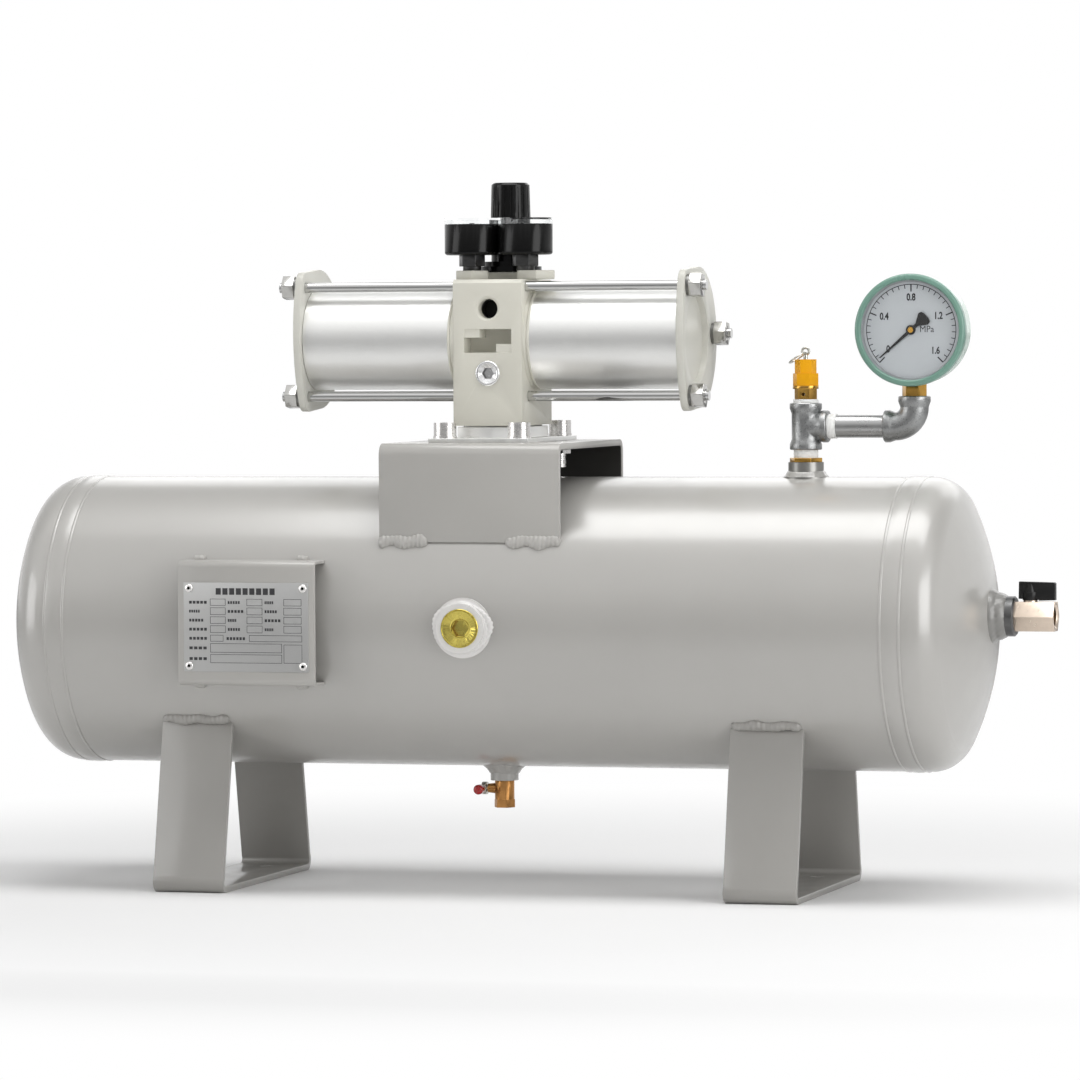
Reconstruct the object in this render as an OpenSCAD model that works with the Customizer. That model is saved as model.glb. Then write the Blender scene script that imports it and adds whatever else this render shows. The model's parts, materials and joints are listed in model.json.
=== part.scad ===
// Air pressure booster standing on its own receiver tank, sizes in millimetres
// The origin is on the floor, in the middle of the four foot bolts; +X runs along the tank, the front is -Y

/* [Tank] */
// Outside diameter of the tank
tank_diameter = 273; // [250:1:300]
// Thickness of the shell and the heads
tank_wall = 6; // [4:0.5:8]
// Length of the shell between the two girth welds
shell_length = 787; // [740:1:840]
// Width of a girth weld along the tank
weld_width = 17.6; // [12:0.1:22]
// How far a girth weld stands proud of the shell
weld_rise = 1; // [0.5:0.1:2]
// Crown radius of a dished head
head_crown_radius = 270; // [250:1:320]
// Knuckle radius of a dished head
head_knuckle_radius = 33; // [24:1:45]
// Length of the straight rim of a dished head
head_rim = 3.7; // [2:0.1:8]
// Height of the tank's axis above the floor
axis_height = 250.8; // [230:0.1:280]
// Distance from the middle of the tank to the middle of the legs
leg_offset = 4.5; // [0:0.5:10]

/* [Legs] */
// Distance from a girth weld to the middle of its leg
leg_inset = 117.9; // [90:0.1:150]
// Width of a leg along the tank
leg_width = 69.3; // [55:0.1:85]
// Depth of a foot from front to back
foot_depth = 271; // [250:1:290]
// Lean of the upright plates from the vertical, in degrees
leg_lean = 11.9; // [8:0.1:15]
// Thickness of the bent leg plate
leg_plate = 6; // [4:0.5:8]
// Outside bend radius of the leg plate
leg_bend = 10; // [9:0.5:14]
// Distance between the front and back foot bolts
foot_bolt_spacing = 190; // [160:1:200]
// Diameter of a foot bolt hole
foot_bolt_hole = 12; // [9:0.5:14]

/* [Booster bracket] */
// Length of the bracket along the tank
bracket_length = 173.8; // [160:0.1:190]
// Depth of the bracket from front to back
bracket_depth = 227.6; // [220:0.1:240]
// Height of the bracket's top above the tank
bracket_rise = 33.3; // [30:0.1:40]
// Thickness of the bracket plate
bracket_plate = 6; // [4:0.5:7]
// Outside bend radius of the bracket plate
bracket_bend = 11; // [9:0.5:15]

/* [Nameplate] */
// Length of the nameplate holder along the tank
holder_length = 134; // [128:1:145]
// Height of the nameplate holder
holder_height = 116; // [105:1:125]
// Distance from the tank to the front of the holder
holder_gap = 18.5; // [15:0.5:25]
// Distance from the middle of the tank to the middle of the holder
holder_shift = 204; // [190:1:230]
// Distance the middle of the holder lies above the tank's axis
holder_lift = 3.5; // [0:0.5:6]
// Thickness of the holder plate
holder_plate = 3; // [2:0.5:4]
// Length of the nameplate
nameplate_length = 122; // [110:1:124]
// Height of the nameplate
nameplate_height = 83; // [70:1:90]
// Thickness of the nameplate
nameplate_thick = 0.8; // [0.5:0.1:1.5]

/* [Tank sockets] */
// How far a small socket stands out of the tank
socket_rise = 13.7; // [11:0.1:18]
// Outside diameter of the top socket
top_socket_diameter = 33; // [31:0.5:38]
// Distance from the middle of the tank to the top socket
top_socket_shift = 293.9; // [270:0.1:310]
// Outside diameter of the drain socket
drain_socket_diameter = 26.5; // [25:0.5:30]
// Outside diameter of the front socket
front_socket_diameter = 46; // [42:0.5:50]
// Thread diameter of the front plug
front_plug_diameter = 33.2; // [30:0.1:36]
// How far the front socket stands out of the tank
front_socket_rise = 9; // [7:0.5:14]
// Outside diameter of the outlet socket
outlet_socket_diameter = 37; // [34:0.5:40]
// How far the outlet socket stands out of the head
outlet_socket_rise = 16.7; // [14:0.1:24]
// Height of the outlet above the tank's axis
outlet_lift = 8; // [0:0.5:12]

/* [Pipe fittings] */
// Outside diameter of the gauge pipe
pipe_diameter = 21.3; // [20:0.1:23]
// Bore of the gauge pipe
pipe_bore = 15; // [12:0.5:17]
// Diameter of the collars on the tee and the elbow
collar_diameter = 30; // [28:0.5:34]
// Width of a collar
collar_width = 5; // [4:0.5:7]
// Diameter of the tee and the elbow between their collars
fitting_diameter = 26.4; // [24.5:0.1:28]
// Distance from the middle of the tee to each of its mouths
tee_reach = 21.8; // [20:0.1:26]
// Distance from the middle of the elbow to each of its mouths
elbow_reach = 28; // [26:0.5:32]
// Length of gauge pipe between the tee and the elbow
pipe_span = 53.5; // [40:0.5:70]
// Height of the brass hexagon on the top socket
nipple_hex_height = 4; // [3:0.5:6]
// Height of taped thread between the brass hexagon and the tee
tape_height = 7.4; // [5:0.1:10]
// Length of thread hidden in a mouth
thread_depth = 11; // [8:0.5:12]

/* [Pressure gauge] */
// Diameter of the gauge bezel
bezel_diameter = 104; // [98:0.5:110]
// How far the bezel stands out past the gauge case
bezel_rim = 2; // [1.5:0.25:3]
// Depth of the gauge from the bezel to the back
gauge_depth = 38; // [34:0.5:44]
// Distance the bezel stands in front of the pipe
gauge_front = 22; // [19:0.5:25]
// Height of the brass gauge stem above the elbow
gauge_stem_height = 11; // [8:0.5:14]

/* [Safety valve] */
// Width across the flats of the brass body
safety_hex = 18.5; // [17:0.5:21]
// Height of the brass body above the tee
safety_body_height = 13; // [11:0.5:16]
// Diameter of the brass collar
safety_collar_diameter = 24; // [22:0.5:26]
// Width across the flats of the cap's lower hexagon
safety_cap_hex = 21; // [20:0.5:23]
// Height of the cap's lower hexagon
safety_cap_height = 11.5; // [9:0.5:14]
// Height of the cap's upper hexagon
safety_top_height = 13; // [10:0.5:16]
// Diameter of the pull ring's middle circle
ring_diameter = 18; // [17:0.5:22]

/* [Outlet valve] */
// Width across the flats of the valve body
valve_hex = 27; // [25:0.5:30]
// Length of the valve body
valve_length = 38.4; // [35:0.1:42]
// Distance from the socket to the valve's spindle
valve_spindle_shift = 14.5; // [13.5:0.1:15]
// Bore radius of the outlet thread
outlet_bore_radius = 9.3; // [9:0.1:10]
// Depth of the outlet thread
outlet_bore_depth = 12; // [9:0.5:13]
// Radius of the ball
ball_radius = 8.6; // [8:0.1:9]
// Height of the handle
handle_height = 16.6; // [14:0.1:20]
// Length of the handle from end to end
handle_length = 34; // [30:0.1:40]

/* [Drain valve] */
// Diameter of the drain valve body
drain_diameter = 18.4; // [17:0.1:21]
// Height of the drain valve's round part
drain_round_height = 18.2; // [17:0.1:22]
// Height of the drain valve's hexagon
drain_hex_height = 7.6; // [6:0.1:10]
// Bore radius of the drain outlet
drain_bore_radius = 5.8; // [5:0.1:6.5]
// Length of the drain lever from its pivot to the tip
drain_lever_reach = 26; // [22:0.5:30]
// Diameter of the lever's grip
drain_grip_diameter = 9.4; // [8:0.1:11]

/* [Booster] */
// Length of the booster between the outside faces of its end covers
booster_length = 379.4; // [360:0.2:420]
// Length of the centre block along the booster
block_length = 67.2; // [60:0.1:75]
// How far the front of the centre block stands in front of the cylinder tubes
block_lip = 1; // [0.9:0.1:4]
// Depth of the centre block behind the booster's axis
block_back = 52; // [46:0.5:60]
// Height of the centre block above the booster's axis
block_above = 56; // [55.5:0.5:60]
// Height of the booster's axis above the bottom of the block
block_below = 81; // [76:0.5:86]
// Outside diameter of the cylinder tubes
tube_diameter = 95; // [90:0.5:98]
// Wall of the cylinder tubes
tube_wall = 4; // [3:0.5:5]
// Thickness of the round collars on the block
block_collar = 6.2; // [5:0.1:11]
// Thickness of an end cover
cover_thick = 6.8; // [6.2:0.1:9]
// Radius of the gentle curve along the front of an end cover
cover_front_radius = 144; // [135:1:220]
// Thickness of the round boss inside an end cover
cover_boss = 0.6; // [0.4:0.1:3]
// Distance from a tie rod's middle to the edge of the end cover
cover_margin = 14.5; // [13:0.5:17]
// Distance from the booster's axis to the tie rods
rod_circle = 59.5; // [58:0.1:60]
// Turn of the tie rods about the booster's axis, in degrees
rod_turn = 4; // [3:0.5:6]
// Diameter of a tie rod
rod_diameter = 9.6; // [9:0.1:11]
// Width across the flats of a tie rod nut
nut_hex = 21; // [18:0.5:22]
// Thickness of a tie rod nut
nut_height = 11.5; // [9:0.5:14]
// Diameter of the piston rod
piston_rod_diameter = 20; // [16:0.5:24]
// Thickness of a piston
piston_thick = 26; // [20:0.5:30]

/* [Booster foot] */
// Length of the foot plate along the booster
foot_plate_length = 97; // [96.5:0.5:110]
// Depth of the foot plate
foot_plate_depth = 168; // [166:0.5:180]
// Thickness of the foot plate
foot_plate_thick = 4; // [3:0.5:8]
// Height of the spacer under the block
spacer_height = 11.3; // [9:0.1:14]
// Distance between the foot screws along the booster
screw_spacing = 72; // [68:0.5:76]
// Distance between the front and back foot screws
screw_depth = 140; // [136:0.5:144]

/* [Regulator and small gauges] */
// Height of the regulator base on the block
regulator_height = 8.4; // [7:0.1:11]
// Distance the regulator stands behind the booster's axis
regulator_back = 25; // [24:0.5:30]
// Distance the regulator stands to the right of the block's middle
regulator_shift = 2; // [0:0.5:3]
// Height of the knob's lower edge above the regulator base
knob_lift = 40; // [36:0.5:44]
// Height of the knob
knob_height = 43; // [38:0.5:48]
// Diameter of the knob at its lower edge
knob_diameter = 40; // [36:0.5:42]
// Diameter of a small gauge
small_gauge_diameter = 51.4; // [48:0.2:51.8]
// Height of a small gauge's case
small_case_height = 29; // [25:0.5:33]
// Height of a small gauge's clear lens
small_lens_height = 5.6; // [5:0.1:7]
// Distance between the two small gauges
small_gauge_spacing = 52.2; // [52.2:0.1:56]
// Distance the small gauges stand in front of the booster's axis
small_gauge_front = 16; // [14:0.5:18]
// Height of a gauge adapter above the regulator base
adapter_height = 14.6; // [12:0.1:18]

/* [Fits] */
// Gap around parts that turn or slide
running_gap = 0.05; // [0.03:0.01:0.08]
// Gap between parts that only pass each other
free_gap = 0.5; // [0.4:0.05:0.8]
// Gap around a tie rod or a shank in its hole
rod_gap = 0.3; // [0.2:0.05:0.4]

/* [Hidden] */
$fn = 96;

// Middle of the tank, measured from the middle of the feet
mid = -leg_offset;
tank_radius = tank_diameter / 2;
leg_spacing = shell_length - leg_inset * 2;
tank_top = axis_height + tank_radius;
tank_bottom = axis_height - tank_radius;
knuckle_centre = tank_radius - head_knuckle_radius;
knuckle_reach = head_crown_radius - head_knuckle_radius;
dish_depth = head_crown_radius - sqrt(pow(knuckle_reach, 2) - pow(knuckle_centre, 2));
head_depth = head_rim + dish_depth;
crown_centre = dish_depth - head_crown_radius;
head_start = shell_length / 2 + weld_width;
weld_arc = (pow(weld_width / 2, 2) + pow(weld_rise, 2)) / (2 * weld_rise);

// A leg's bend, seen along the tank
leg_half_corner = (90 - leg_lean) / 2;
leg_bend_y = foot_depth / 2 - leg_bend / tan(leg_half_corner);
leg_reach = axis_height - tank_radius * 0.45;

bracket_top = tank_top + bracket_rise;
// The bracket's flanges stop square a little above the shell and rest on it along their inside edge
bracket_foot = axis_height + sqrt(pow(tank_radius, 2) - pow(bracket_depth / 2, 2)) + 2.8;
holder_front = tank_radius + holder_gap;
rivet_inset = 5.2;
rivet_radius = 3.9;
rivet_height = 1.8;
rivet_round = (pow(rivet_radius, 2) + pow(rivet_height, 2)) / (2 * rivet_height);

top_x = mid + top_socket_shift;
front_radius = front_socket_diameter / 2;
drain_radius = drain_socket_diameter / 2;
top_radius = top_socket_diameter / 2;
outlet_radius = outlet_socket_diameter / 2;
outlet_z = axis_height + outlet_lift;
outlet_start = mid + head_start + head_depth;
outlet_face = outlet_start + outlet_socket_rise;
socket_flare = 5;
plug_socket_hex = 14.5;
plug_dish = 3.2;
plug_dish_radius = front_plug_diameter / 2 - 0.8;

pipe_radius = pipe_diameter / 2;
collar_radius = collar_diameter / 2;
fitting_radius = fitting_diameter / 2;
top_socket_face = tank_top + socket_rise;
nipple_top = top_socket_face + nipple_hex_height;
tee_bottom = nipple_top + tape_height;
tee_z = tee_bottom + tee_reach;
tee_top = tee_z + tee_reach;
branch_x = top_x + tee_reach;
elbow_face = branch_x + pipe_span;
elbow_x = elbow_face + elbow_reach;
elbow_top = tee_z + elbow_reach;
collar_flare = 5;
fitting_end = collar_width + collar_flare;
bend_radius = elbow_reach - fitting_end;
tape_thick = 0.9;
safety_tape = 3.4;
safety_tape_radius = 12;
branch_tape = 8;

// The gauge stands on the elbow and faces the front
bezel_radius = bezel_diameter / 2;
case_radius = bezel_radius - bezel_rim;
gauge_z = elbow_top + gauge_stem_height + case_radius;
bezel_depth = 10;
bezel_lip = 2.6;
glass_seat = 1;
dial_y = -gauge_front + 9;
dial_thick = 1;
glass_thick = 2;
glass_y = -gauge_front + 2.5;
pointer_shaft = 2;
case_back = gauge_depth - gauge_front;
case_wall = 2;
stem_hex = 20;
stem_neck = 7;

collar_z = tee_top + safety_body_height;
safety_collar = 3;
cap_z = collar_z + safety_collar;
cap_top_hex = safety_cap_hex - 3.5;
cap_step = cap_z + safety_cap_height;
cap_top = cap_step + safety_top_height;
stem_radius = 2;
eye_radius = 3.2;
eye_wire = 1.2;
eye_z = cap_top + 7.5;
ring_wire = 0.8;
ring_radius = ring_diameter / 2;
ring_lean = 57;
ring_drop = eye_radius - eye_wire - ring_wire - 0.25;

outlet_tape = 2.9;
outlet_tape_radius = 14.3;
valve_start = outlet_face + outlet_tape;
valve_end = valve_start + valve_length;
spindle_x = valve_start + valve_spindle_shift;
valve_top = outlet_z + valve_hex / 2;
gland_height = 1.6;
gland_radius = 6.5;
spindle_radius = 3;
handle_base = valve_top + gland_height + free_gap;
handle_back = 10.4;

drain_face = tank_bottom - socket_rise;
drain_round = drain_face - drain_round_height;
drain_end = drain_round - drain_hex_height;
drain_z = drain_face - 7.9;
bonnet_end = 16;
lever_x = bonnet_end + 3.2;
lever_radius = 2.4;

block_bottom = bracket_top + foot_plate_thick + spacer_height;
booster_z = block_bottom + block_below;
block_top = booster_z + block_above;
tube_radius = tube_diameter / 2;
tube_bore = tube_radius - tube_wall;
block_front = tube_radius + block_lip;
block_chamfer = 3.5;
block_recess = 22;
collar_round = tube_radius + 0.8;
collar_groove = 3.6;
cover_face = booster_length / 2 - cover_thick;
tube_start = block_length / 2 + block_collar;
tube_end = cover_face - cover_boss;
rod_radius = rod_diameter / 2;
rod_front = rod_circle / 2;
rod_height = rod_circle * sin(60);
cover_half = rod_height + cover_margin;
front_arc_reach = cover_front_radius - cover_margin;
corner_front = rod_front - 2;
front_arc_centre = sqrt(pow(front_arc_reach, 2) - pow(rod_height, 2)) - corner_front;
front_arc_far = -corner_front * 2 - front_arc_centre;
cover_round_centre = 9;
// The straight and gentle stretches stop this far inside the round ones, so that their outlines cross
outline_step = 0.04;
cover_recess_radius = 42.5;
cover_recess = 6;
pilot_length = 4;
washer_height = 3;
stud_end = 4;
piston_middle = (tube_start + tube_end - pilot_length) / 2;
port_z = booster_z + 28.5;
plug_z = booster_z - 32;
port_radius = 9.3;
port_depth = 24;
plug_radius = 8;

screw_back = screw_depth / 2 + 2;
screw_front = screw_depth / 2 - 2;
screw_radius = 5.8;
screw_head_radius = 10.6;
screw_head = 12.5;
screw_washer = 2.2;
screw_tail = 20;
screw_nut = 7;
spacer_gap = 1.3;
spacer_inset = 3;

regulator_x = mid + regulator_shift;
regulator_top = block_top + regulator_height;
adapter_top = regulator_top + adapter_height;
small_radius = small_gauge_diameter / 2;
small_case_top = adapter_top + small_case_height;
small_shaft = 1;
knob_base = regulator_top + knob_lift;
knob_stem = 6;
base_hex = 30;
base_side_hex = 35;
base_side_x = 34.6;
base_side_front = 10;
base_turn = -14;
base_tier = 1.5;
seat_radius = 29.4;
bonnet_flange = 29;
bonnet_seat = 17;
bonnet_radius = 18.5;
adapter_stub = 7;
adapter_collar = 8.6;

paint = [0.69, 0.69, 0.67];
bare_paint = [0.6, 0.6, 0.58];
steel = [0.72, 0.72, 0.73];
zinc = [0.78, 0.78, 0.78];
brass = [0.76, 0.62, 0.32];
beige = [0.78, 0.78, 0.73];
aluminium = [0.82, 0.82, 0.83];
black = [0.05, 0.05, 0.05];
white = [0.95, 0.95, 0.95];

// Turns a shape drawn upwards so that it points along the tank
module along_tank(x, y, z) {
    translate([x, y, z]) rotate([0, 90, 0]) children();
}

// Turns a shape drawn upwards so that it points to the front
module to_front(x, y, z) {
    translate([x, y, z]) rotate([90, 0, 0]) children();
}

// Pulls a flat outline, drawn in depth and height, along the tank from start to end
module along_outline(start, end) {
    translate([start, 0, 0]) rotate([90, 0, 90]) linear_extrude(height = end - start) children();
}

module hex_bar(flats, height) {
    cylinder(r = flats / 2 / cos(30), h = height, $fn = 6);
}

module ring(outer, inner, height) {
    difference() {
        cylinder(r = outer, h = height);
        translate([0, 0, -1]) cylinder(r = inner, h = height + 2);
    }
}

// The shell's outside, used to cut everything that is welded to it
module tank_space() {
    along_tank(mid - shell_length / 2, 0, axis_height) cylinder(r = tank_radius, h = shell_length);
}

// Half outline of a dished head: a straight rim, then a knuckle arc that runs into a crown arc
module head_outline(inset) {
    square([tank_radius - inset, head_rim]);
    translate([0, head_rim]) intersection() {
        square([tank_radius - inset, dish_depth - inset]);
        union() {
            intersection() {
                translate([0, crown_centre]) circle(r = head_crown_radius - inset);
                polygon([[0, crown_centre], [knuckle_centre * 3, crown_centre * -2], [0, head_crown_radius]]);
            }
            translate([knuckle_centre, 0]) circle(r = head_knuckle_radius - inset);
        }
    }
}

module dished_head() {
    rotate_extrude() difference() {
        head_outline(0);
        head_outline(tank_wall);
    }
}

// Threaded socket with a hollow weld fillet at its foot; its own z = 0 is where it leaves the tank
module welded_socket(outer, bore, rise, sunk) {
    rotate_extrude() difference() {
        union() {
            translate([bore, -sunk]) square([outer - bore, sunk + rise]);
            translate([bore, -4]) square([outer + socket_flare - bore, 4 + socket_flare]);
        }
        translate([outer + socket_flare, socket_flare]) circle(r = socket_flare);
    }
}

module tank_shell() {
    color(paint)
    difference() {
        tank_space();
        along_tank(mid - shell_length, 0, axis_height)
            cylinder(r = tank_radius - tank_wall, h = shell_length * 2);
        translate([top_x, 0, axis_height]) cylinder(r = top_radius, h = tank_diameter);
        translate([mid, 0, 0]) cylinder(r = drain_radius, h = axis_height);
        to_front(mid, 0, axis_height) cylinder(r = front_radius, h = tank_diameter);
    }
}

module tank_head_left() {
    color(paint) along_tank(mid - head_start, 0, axis_height) mirror([0, 0, 1]) dished_head();
}

module tank_head_right() {
    color(paint)
    difference() {
        along_tank(mid + head_start, 0, axis_height) dished_head();
        along_tank(mid + head_start, 0, outlet_z) cylinder(r = outlet_radius, h = head_depth * 2);
    }
}

module girth_welds() {
    color(paint)
    for (start = [mid - head_start, mid + shell_length / 2])
        along_tank(start, 0, axis_height)
            rotate_extrude() intersection() {
                translate([tank_radius - tank_wall, 0]) square([tank_wall + weld_rise, weld_width]);
                translate([tank_radius + weld_rise - weld_arc, weld_width / 2]) circle(r = weld_arc);
            }
}

// Bent plate of a leg: a flat foot and two upright plates that lean in to the tank
module leg_outline(inset) {
    out = leg_bend - inset;
    side = [cos(leg_lean), -sin(leg_lean)];
    rise = [-sin(leg_lean), cos(leg_lean)];
    knee = [leg_bend_y, leg_bend] + side * out;
    tip = knee + rise * leg_reach;
    polygon([[-leg_bend_y, inset], [leg_bend_y, inset], [leg_bend_y, leg_bend], knee, tip,
        [-tip[0], tip[1]], [-knee[0], knee[1]], [-leg_bend_y, leg_bend]]);
    for (end = [-1, 1])
        translate([end * leg_bend_y, leg_bend]) circle(r = out);
}

module leg(x) {
    color(bare_paint)
    difference() {
        along_outline(x - leg_width / 2, x + leg_width / 2) difference() {
            leg_outline(0);
            leg_outline(leg_plate);
            translate([-foot_depth, leg_reach * 0.95]) square([foot_depth * 2, axis_height * 2]);
        }
        tank_space();
        for (end = [-1, 1])
            translate([x, end * foot_bolt_spacing / 2, -1])
                cylinder(r = foot_bolt_hole / 2, h = leg_plate + 2);
    }
}

module leg_left() {
    leg(-leg_spacing / 2);
}

module leg_right() {
    leg(leg_spacing / 2);
}

// Channel seen from its end: a web of the given half width and two flanges that run down from it
module channel_outline(half, top, drop, plate, bend) {
    difference() {
        union() {
            translate([-half, top - drop]) square([half * 2, drop - bend]);
            translate([bend - half, top - drop]) square([(half - bend) * 2, drop]);
            for (end = [-1, 1])
                translate([end * (half - bend), top - bend]) circle(r = bend);
        }
        translate([plate - half, top - drop - 1]) square([(half - plate) * 2, drop - bend + 1]);
        translate([bend - half, top - drop - 1]) square([(half - bend) * 2, drop - plate + 1]);
        for (end = [-1, 1])
            translate([end * (half - bend), top - bend]) circle(r = bend - plate);
    }
}

module at_foot_screws() {
    for (x = [-1, 1], y = [-screw_front, screw_back])
        translate([mid + x * screw_spacing / 2, y, 0]) children();
}

module booster_bracket() {
    color(bare_paint)
    difference() {
        along_outline(mid - bracket_length / 2, mid + bracket_length / 2)
            channel_outline(bracket_depth / 2, bracket_top, tank_radius, bracket_plate, bracket_bend);
        tank_space();
        translate([mid - bracket_length, -bracket_depth, 0])
            cube([bracket_length * 2, bracket_depth * 2, bracket_foot]);
        at_foot_screws() translate([0, 0, tank_top]) cylinder(r = screw_radius + free_gap, h = tank_radius);
    }
}

module nameplate_holder() {
    color(paint)
    difference() {
        translate([mid - holder_shift, 0, axis_height + holder_lift]) rotate([90, 0, 0])
            along_outline(-holder_length / 2, holder_length / 2)
                channel_outline(holder_height / 2, holder_front, tank_radius / 2, holder_plate,
                    holder_plate + 3);
        tank_space();
    }
}

module nameplate() {
    color(zinc)
    translate([mid - holder_shift - nameplate_length / 2, -holder_front - nameplate_thick,
        axis_height - nameplate_height / 2])
        cube([nameplate_length, nameplate_thick, nameplate_height]);
}

module nameplate_rivets() {
    color(steel)
    for (x = [-1, 1], z = [-1, 1])
        to_front(mid - holder_shift + x * (nameplate_length / 2 - rivet_inset),
            -holder_front - nameplate_thick, axis_height + z * (nameplate_height / 2 - rivet_inset))
            rotate_extrude() intersection() {
                square([rivet_radius - 0.1, rivet_height + 1]);
                translate([0, rivet_height - rivet_round]) circle(r = rivet_round);
            }
}

module top_socket() {
    color(paint)
    difference() {
        translate([top_x, 0, tank_top]) welded_socket(top_radius, pipe_radius, socket_rise, tank_wall + 4);
        difference() {
            tank_space();
            translate([top_x, 0, axis_height]) cylinder(r = top_radius, h = tank_diameter);
        }
    }
}

module drain_socket() {
    color(paint)
    difference() {
        translate([mid, 0, tank_bottom]) mirror([0, 0, 1])
            welded_socket(drain_radius, drain_bore_radius, socket_rise, tank_wall + 4);
        difference() {
            tank_space();
            translate([mid, 0, 0]) cylinder(r = drain_radius, h = axis_height);
        }
    }
}

module front_socket() {
    color(steel)
    difference() {
        to_front(mid, -tank_radius, axis_height)
            welded_socket(front_radius, front_plug_diameter / 2, front_socket_rise, tank_wall + 6);
        difference() {
            tank_space();
            to_front(mid, 0, axis_height) cylinder(r = front_radius, h = tank_diameter);
        }
    }
}

module outlet_socket() {
    color(steel)
    difference() {
        along_tank(outlet_start, 0, outlet_z)
            welded_socket(outlet_radius, pipe_radius, outlet_socket_rise, tank_wall + 4);
        difference() {
            along_tank(mid + head_start, 0, axis_height) rotate_extrude() head_outline(0);
            along_tank(mid + head_start, 0, outlet_z) cylinder(r = outlet_radius, h = head_depth * 2);
        }
    }
}

module front_plug() {
    color(brass)
    to_front(mid, -tank_radius, axis_height)
        difference() {
            translate([0, 0, -4]) cylinder(r = front_plug_diameter / 2, h = front_socket_rise + 5);
            translate([0, 0, front_socket_rise - 8]) hex_bar(plug_socket_hex, 12);
            translate([0, 0, front_socket_rise + 1 - plug_dish])
                cylinder(r1 = 8.3, r2 = plug_dish_radius, h = plug_dish);
            translate([0, 0, front_socket_rise + 1]) cylinder(r = plug_dish_radius, h = 1);
        }
}

module hex_nipple() {
    color(brass)
    translate([top_x, 0, 0])
        difference() {
            union() {
                translate([0, 0, top_socket_face - thread_depth])
                    cylinder(r = pipe_radius, h = tee_bottom + thread_depth * 2 - top_socket_face);
                translate([0, 0, top_socket_face]) hex_bar(27, nipple_hex_height);
            }
            translate([0, 0, top_socket_face - thread_depth - 1])
                cylinder(r = pipe_bore / 2 - 1, h = tape_height + thread_depth * 3 + nipple_hex_height);
        }
}

// The end of a fitting's arm: a flare that runs out to the collar around its mouth
module fitting_mouth_ring() {
    rotate_extrude() polygon([[0, 0], [fitting_radius, 0], [collar_radius, collar_flare],
        [collar_radius, fitting_end - 0.8], [collar_radius - 0.8, fitting_end], [0, fitting_end]]);
}

// One arm of a fitting, drawn from the fitting's middle
module fitting_arm(reach) {
    cylinder(r = fitting_radius, h = reach - fitting_end);
    translate([0, 0, reach - fitting_end]) fitting_mouth_ring();
}

module fitting_mouth(reach) {
    translate([0, 0, reach - thread_depth]) cylinder(r = pipe_radius, h = thread_depth + 1);
}

module pipe_tee() {
    color(steel)
    translate([top_x, 0, tee_z])
        difference() {
            union() {
                for (turn = [0, 90, 180])
                    rotate([0, turn, 0]) fitting_arm(tee_reach);
            }
            translate([0, 0, -tee_reach]) cylinder(r = pipe_bore / 2, h = tee_reach * 2);
            rotate([0, 90, 0]) cylinder(r = pipe_bore / 2, h = tee_reach);
            for (turn = [0, 90, 180])
                rotate([0, turn, 0]) fitting_mouth(tee_reach);
        }
}

module pipe_nipple() {
    color(zinc)
    along_tank(branch_x - thread_depth, 0, tee_z)
        ring(pipe_radius, pipe_bore / 2, pipe_span + thread_depth * 2);
}

// Quarter turn of round bar from the left mouth up to the top mouth, around the bend's own centre
module elbow_turn(radius) {
    translate([elbow_x - bend_radius, 0, tee_z + bend_radius]) rotate([90, 0, 0])
        rotate_extrude(angle = -90) translate([bend_radius, 0]) circle(r = radius);
}

module elbow_arms(radius, past) {
    along_tank(elbow_face - past, 0, tee_z) cylinder(r = radius, h = elbow_reach - bend_radius + past);
    translate([elbow_x, 0, tee_z + bend_radius]) cylinder(r = radius, h = elbow_reach - bend_radius + past);
}

module pipe_elbow() {
    color(steel)
    difference() {
        union() {
            elbow_turn(fitting_radius);
            translate([elbow_face + fitting_end, 0, tee_z]) rotate([0, -90, 0]) fitting_mouth_ring();
            translate([elbow_x, 0, elbow_top - fitting_end]) fitting_mouth_ring();
        }
        elbow_turn(pipe_bore / 2);
        elbow_arms(pipe_bore / 2, 1);
        along_tank(elbow_face - 1, 0, tee_z) cylinder(r = pipe_radius, h = thread_depth + 1);
        translate([elbow_x, 0, elbow_top - thread_depth]) cylinder(r = pipe_radius, h = thread_depth + 1);
    }
}

module thread_tape() {
    color(white) {
        translate([top_x, 0, nipple_top]) ring(pipe_radius + tape_thick, pipe_radius, tape_height);
        along_tank(branch_x, 0, tee_z) ring(pipe_radius + tape_thick, pipe_radius, branch_tape);
        translate([top_x, 0, tee_top]) ring(safety_tape_radius, safety_hex / 2 - 1, safety_tape);
        along_tank(outlet_face, 0, outlet_z) ring(outlet_tape_radius, pipe_radius, outlet_tape);
    }
}

module safety_body() {
    color(brass)
    translate([top_x, 0, 0])
        difference() {
            union() {
                translate([0, 0, tee_top - thread_depth]) cylinder(r = pipe_radius, h = thread_depth);
                translate([0, 0, tee_top]) cylinder(r = safety_hex / 2 - 1, h = 4);
                translate([0, 0, tee_top + 3.5]) hex_bar(safety_hex, safety_body_height - 3.5);
                translate([0, 0, collar_z]) cylinder(r = safety_collar_diameter / 2, h = safety_collar);
            }
            translate([0, 0, tee_top - thread_depth - 1]) cylinder(r = 5, h = thread_depth + 2);
            translate([0, 0, collar_z]) cylinder(r = stem_radius + running_gap, h = safety_collar + 1);
            translate([0, 0, tee_top]) cylinder(r = 2.8, h = 6);
            translate([0, 0, tee_top + 5]) cylinder(r = 4.6, h = safety_body_height - 5);
            to_front(0, 0, tee_top + safety_body_height * 0.62) cylinder(r = 1.7, h = safety_hex);
        }
}

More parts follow.
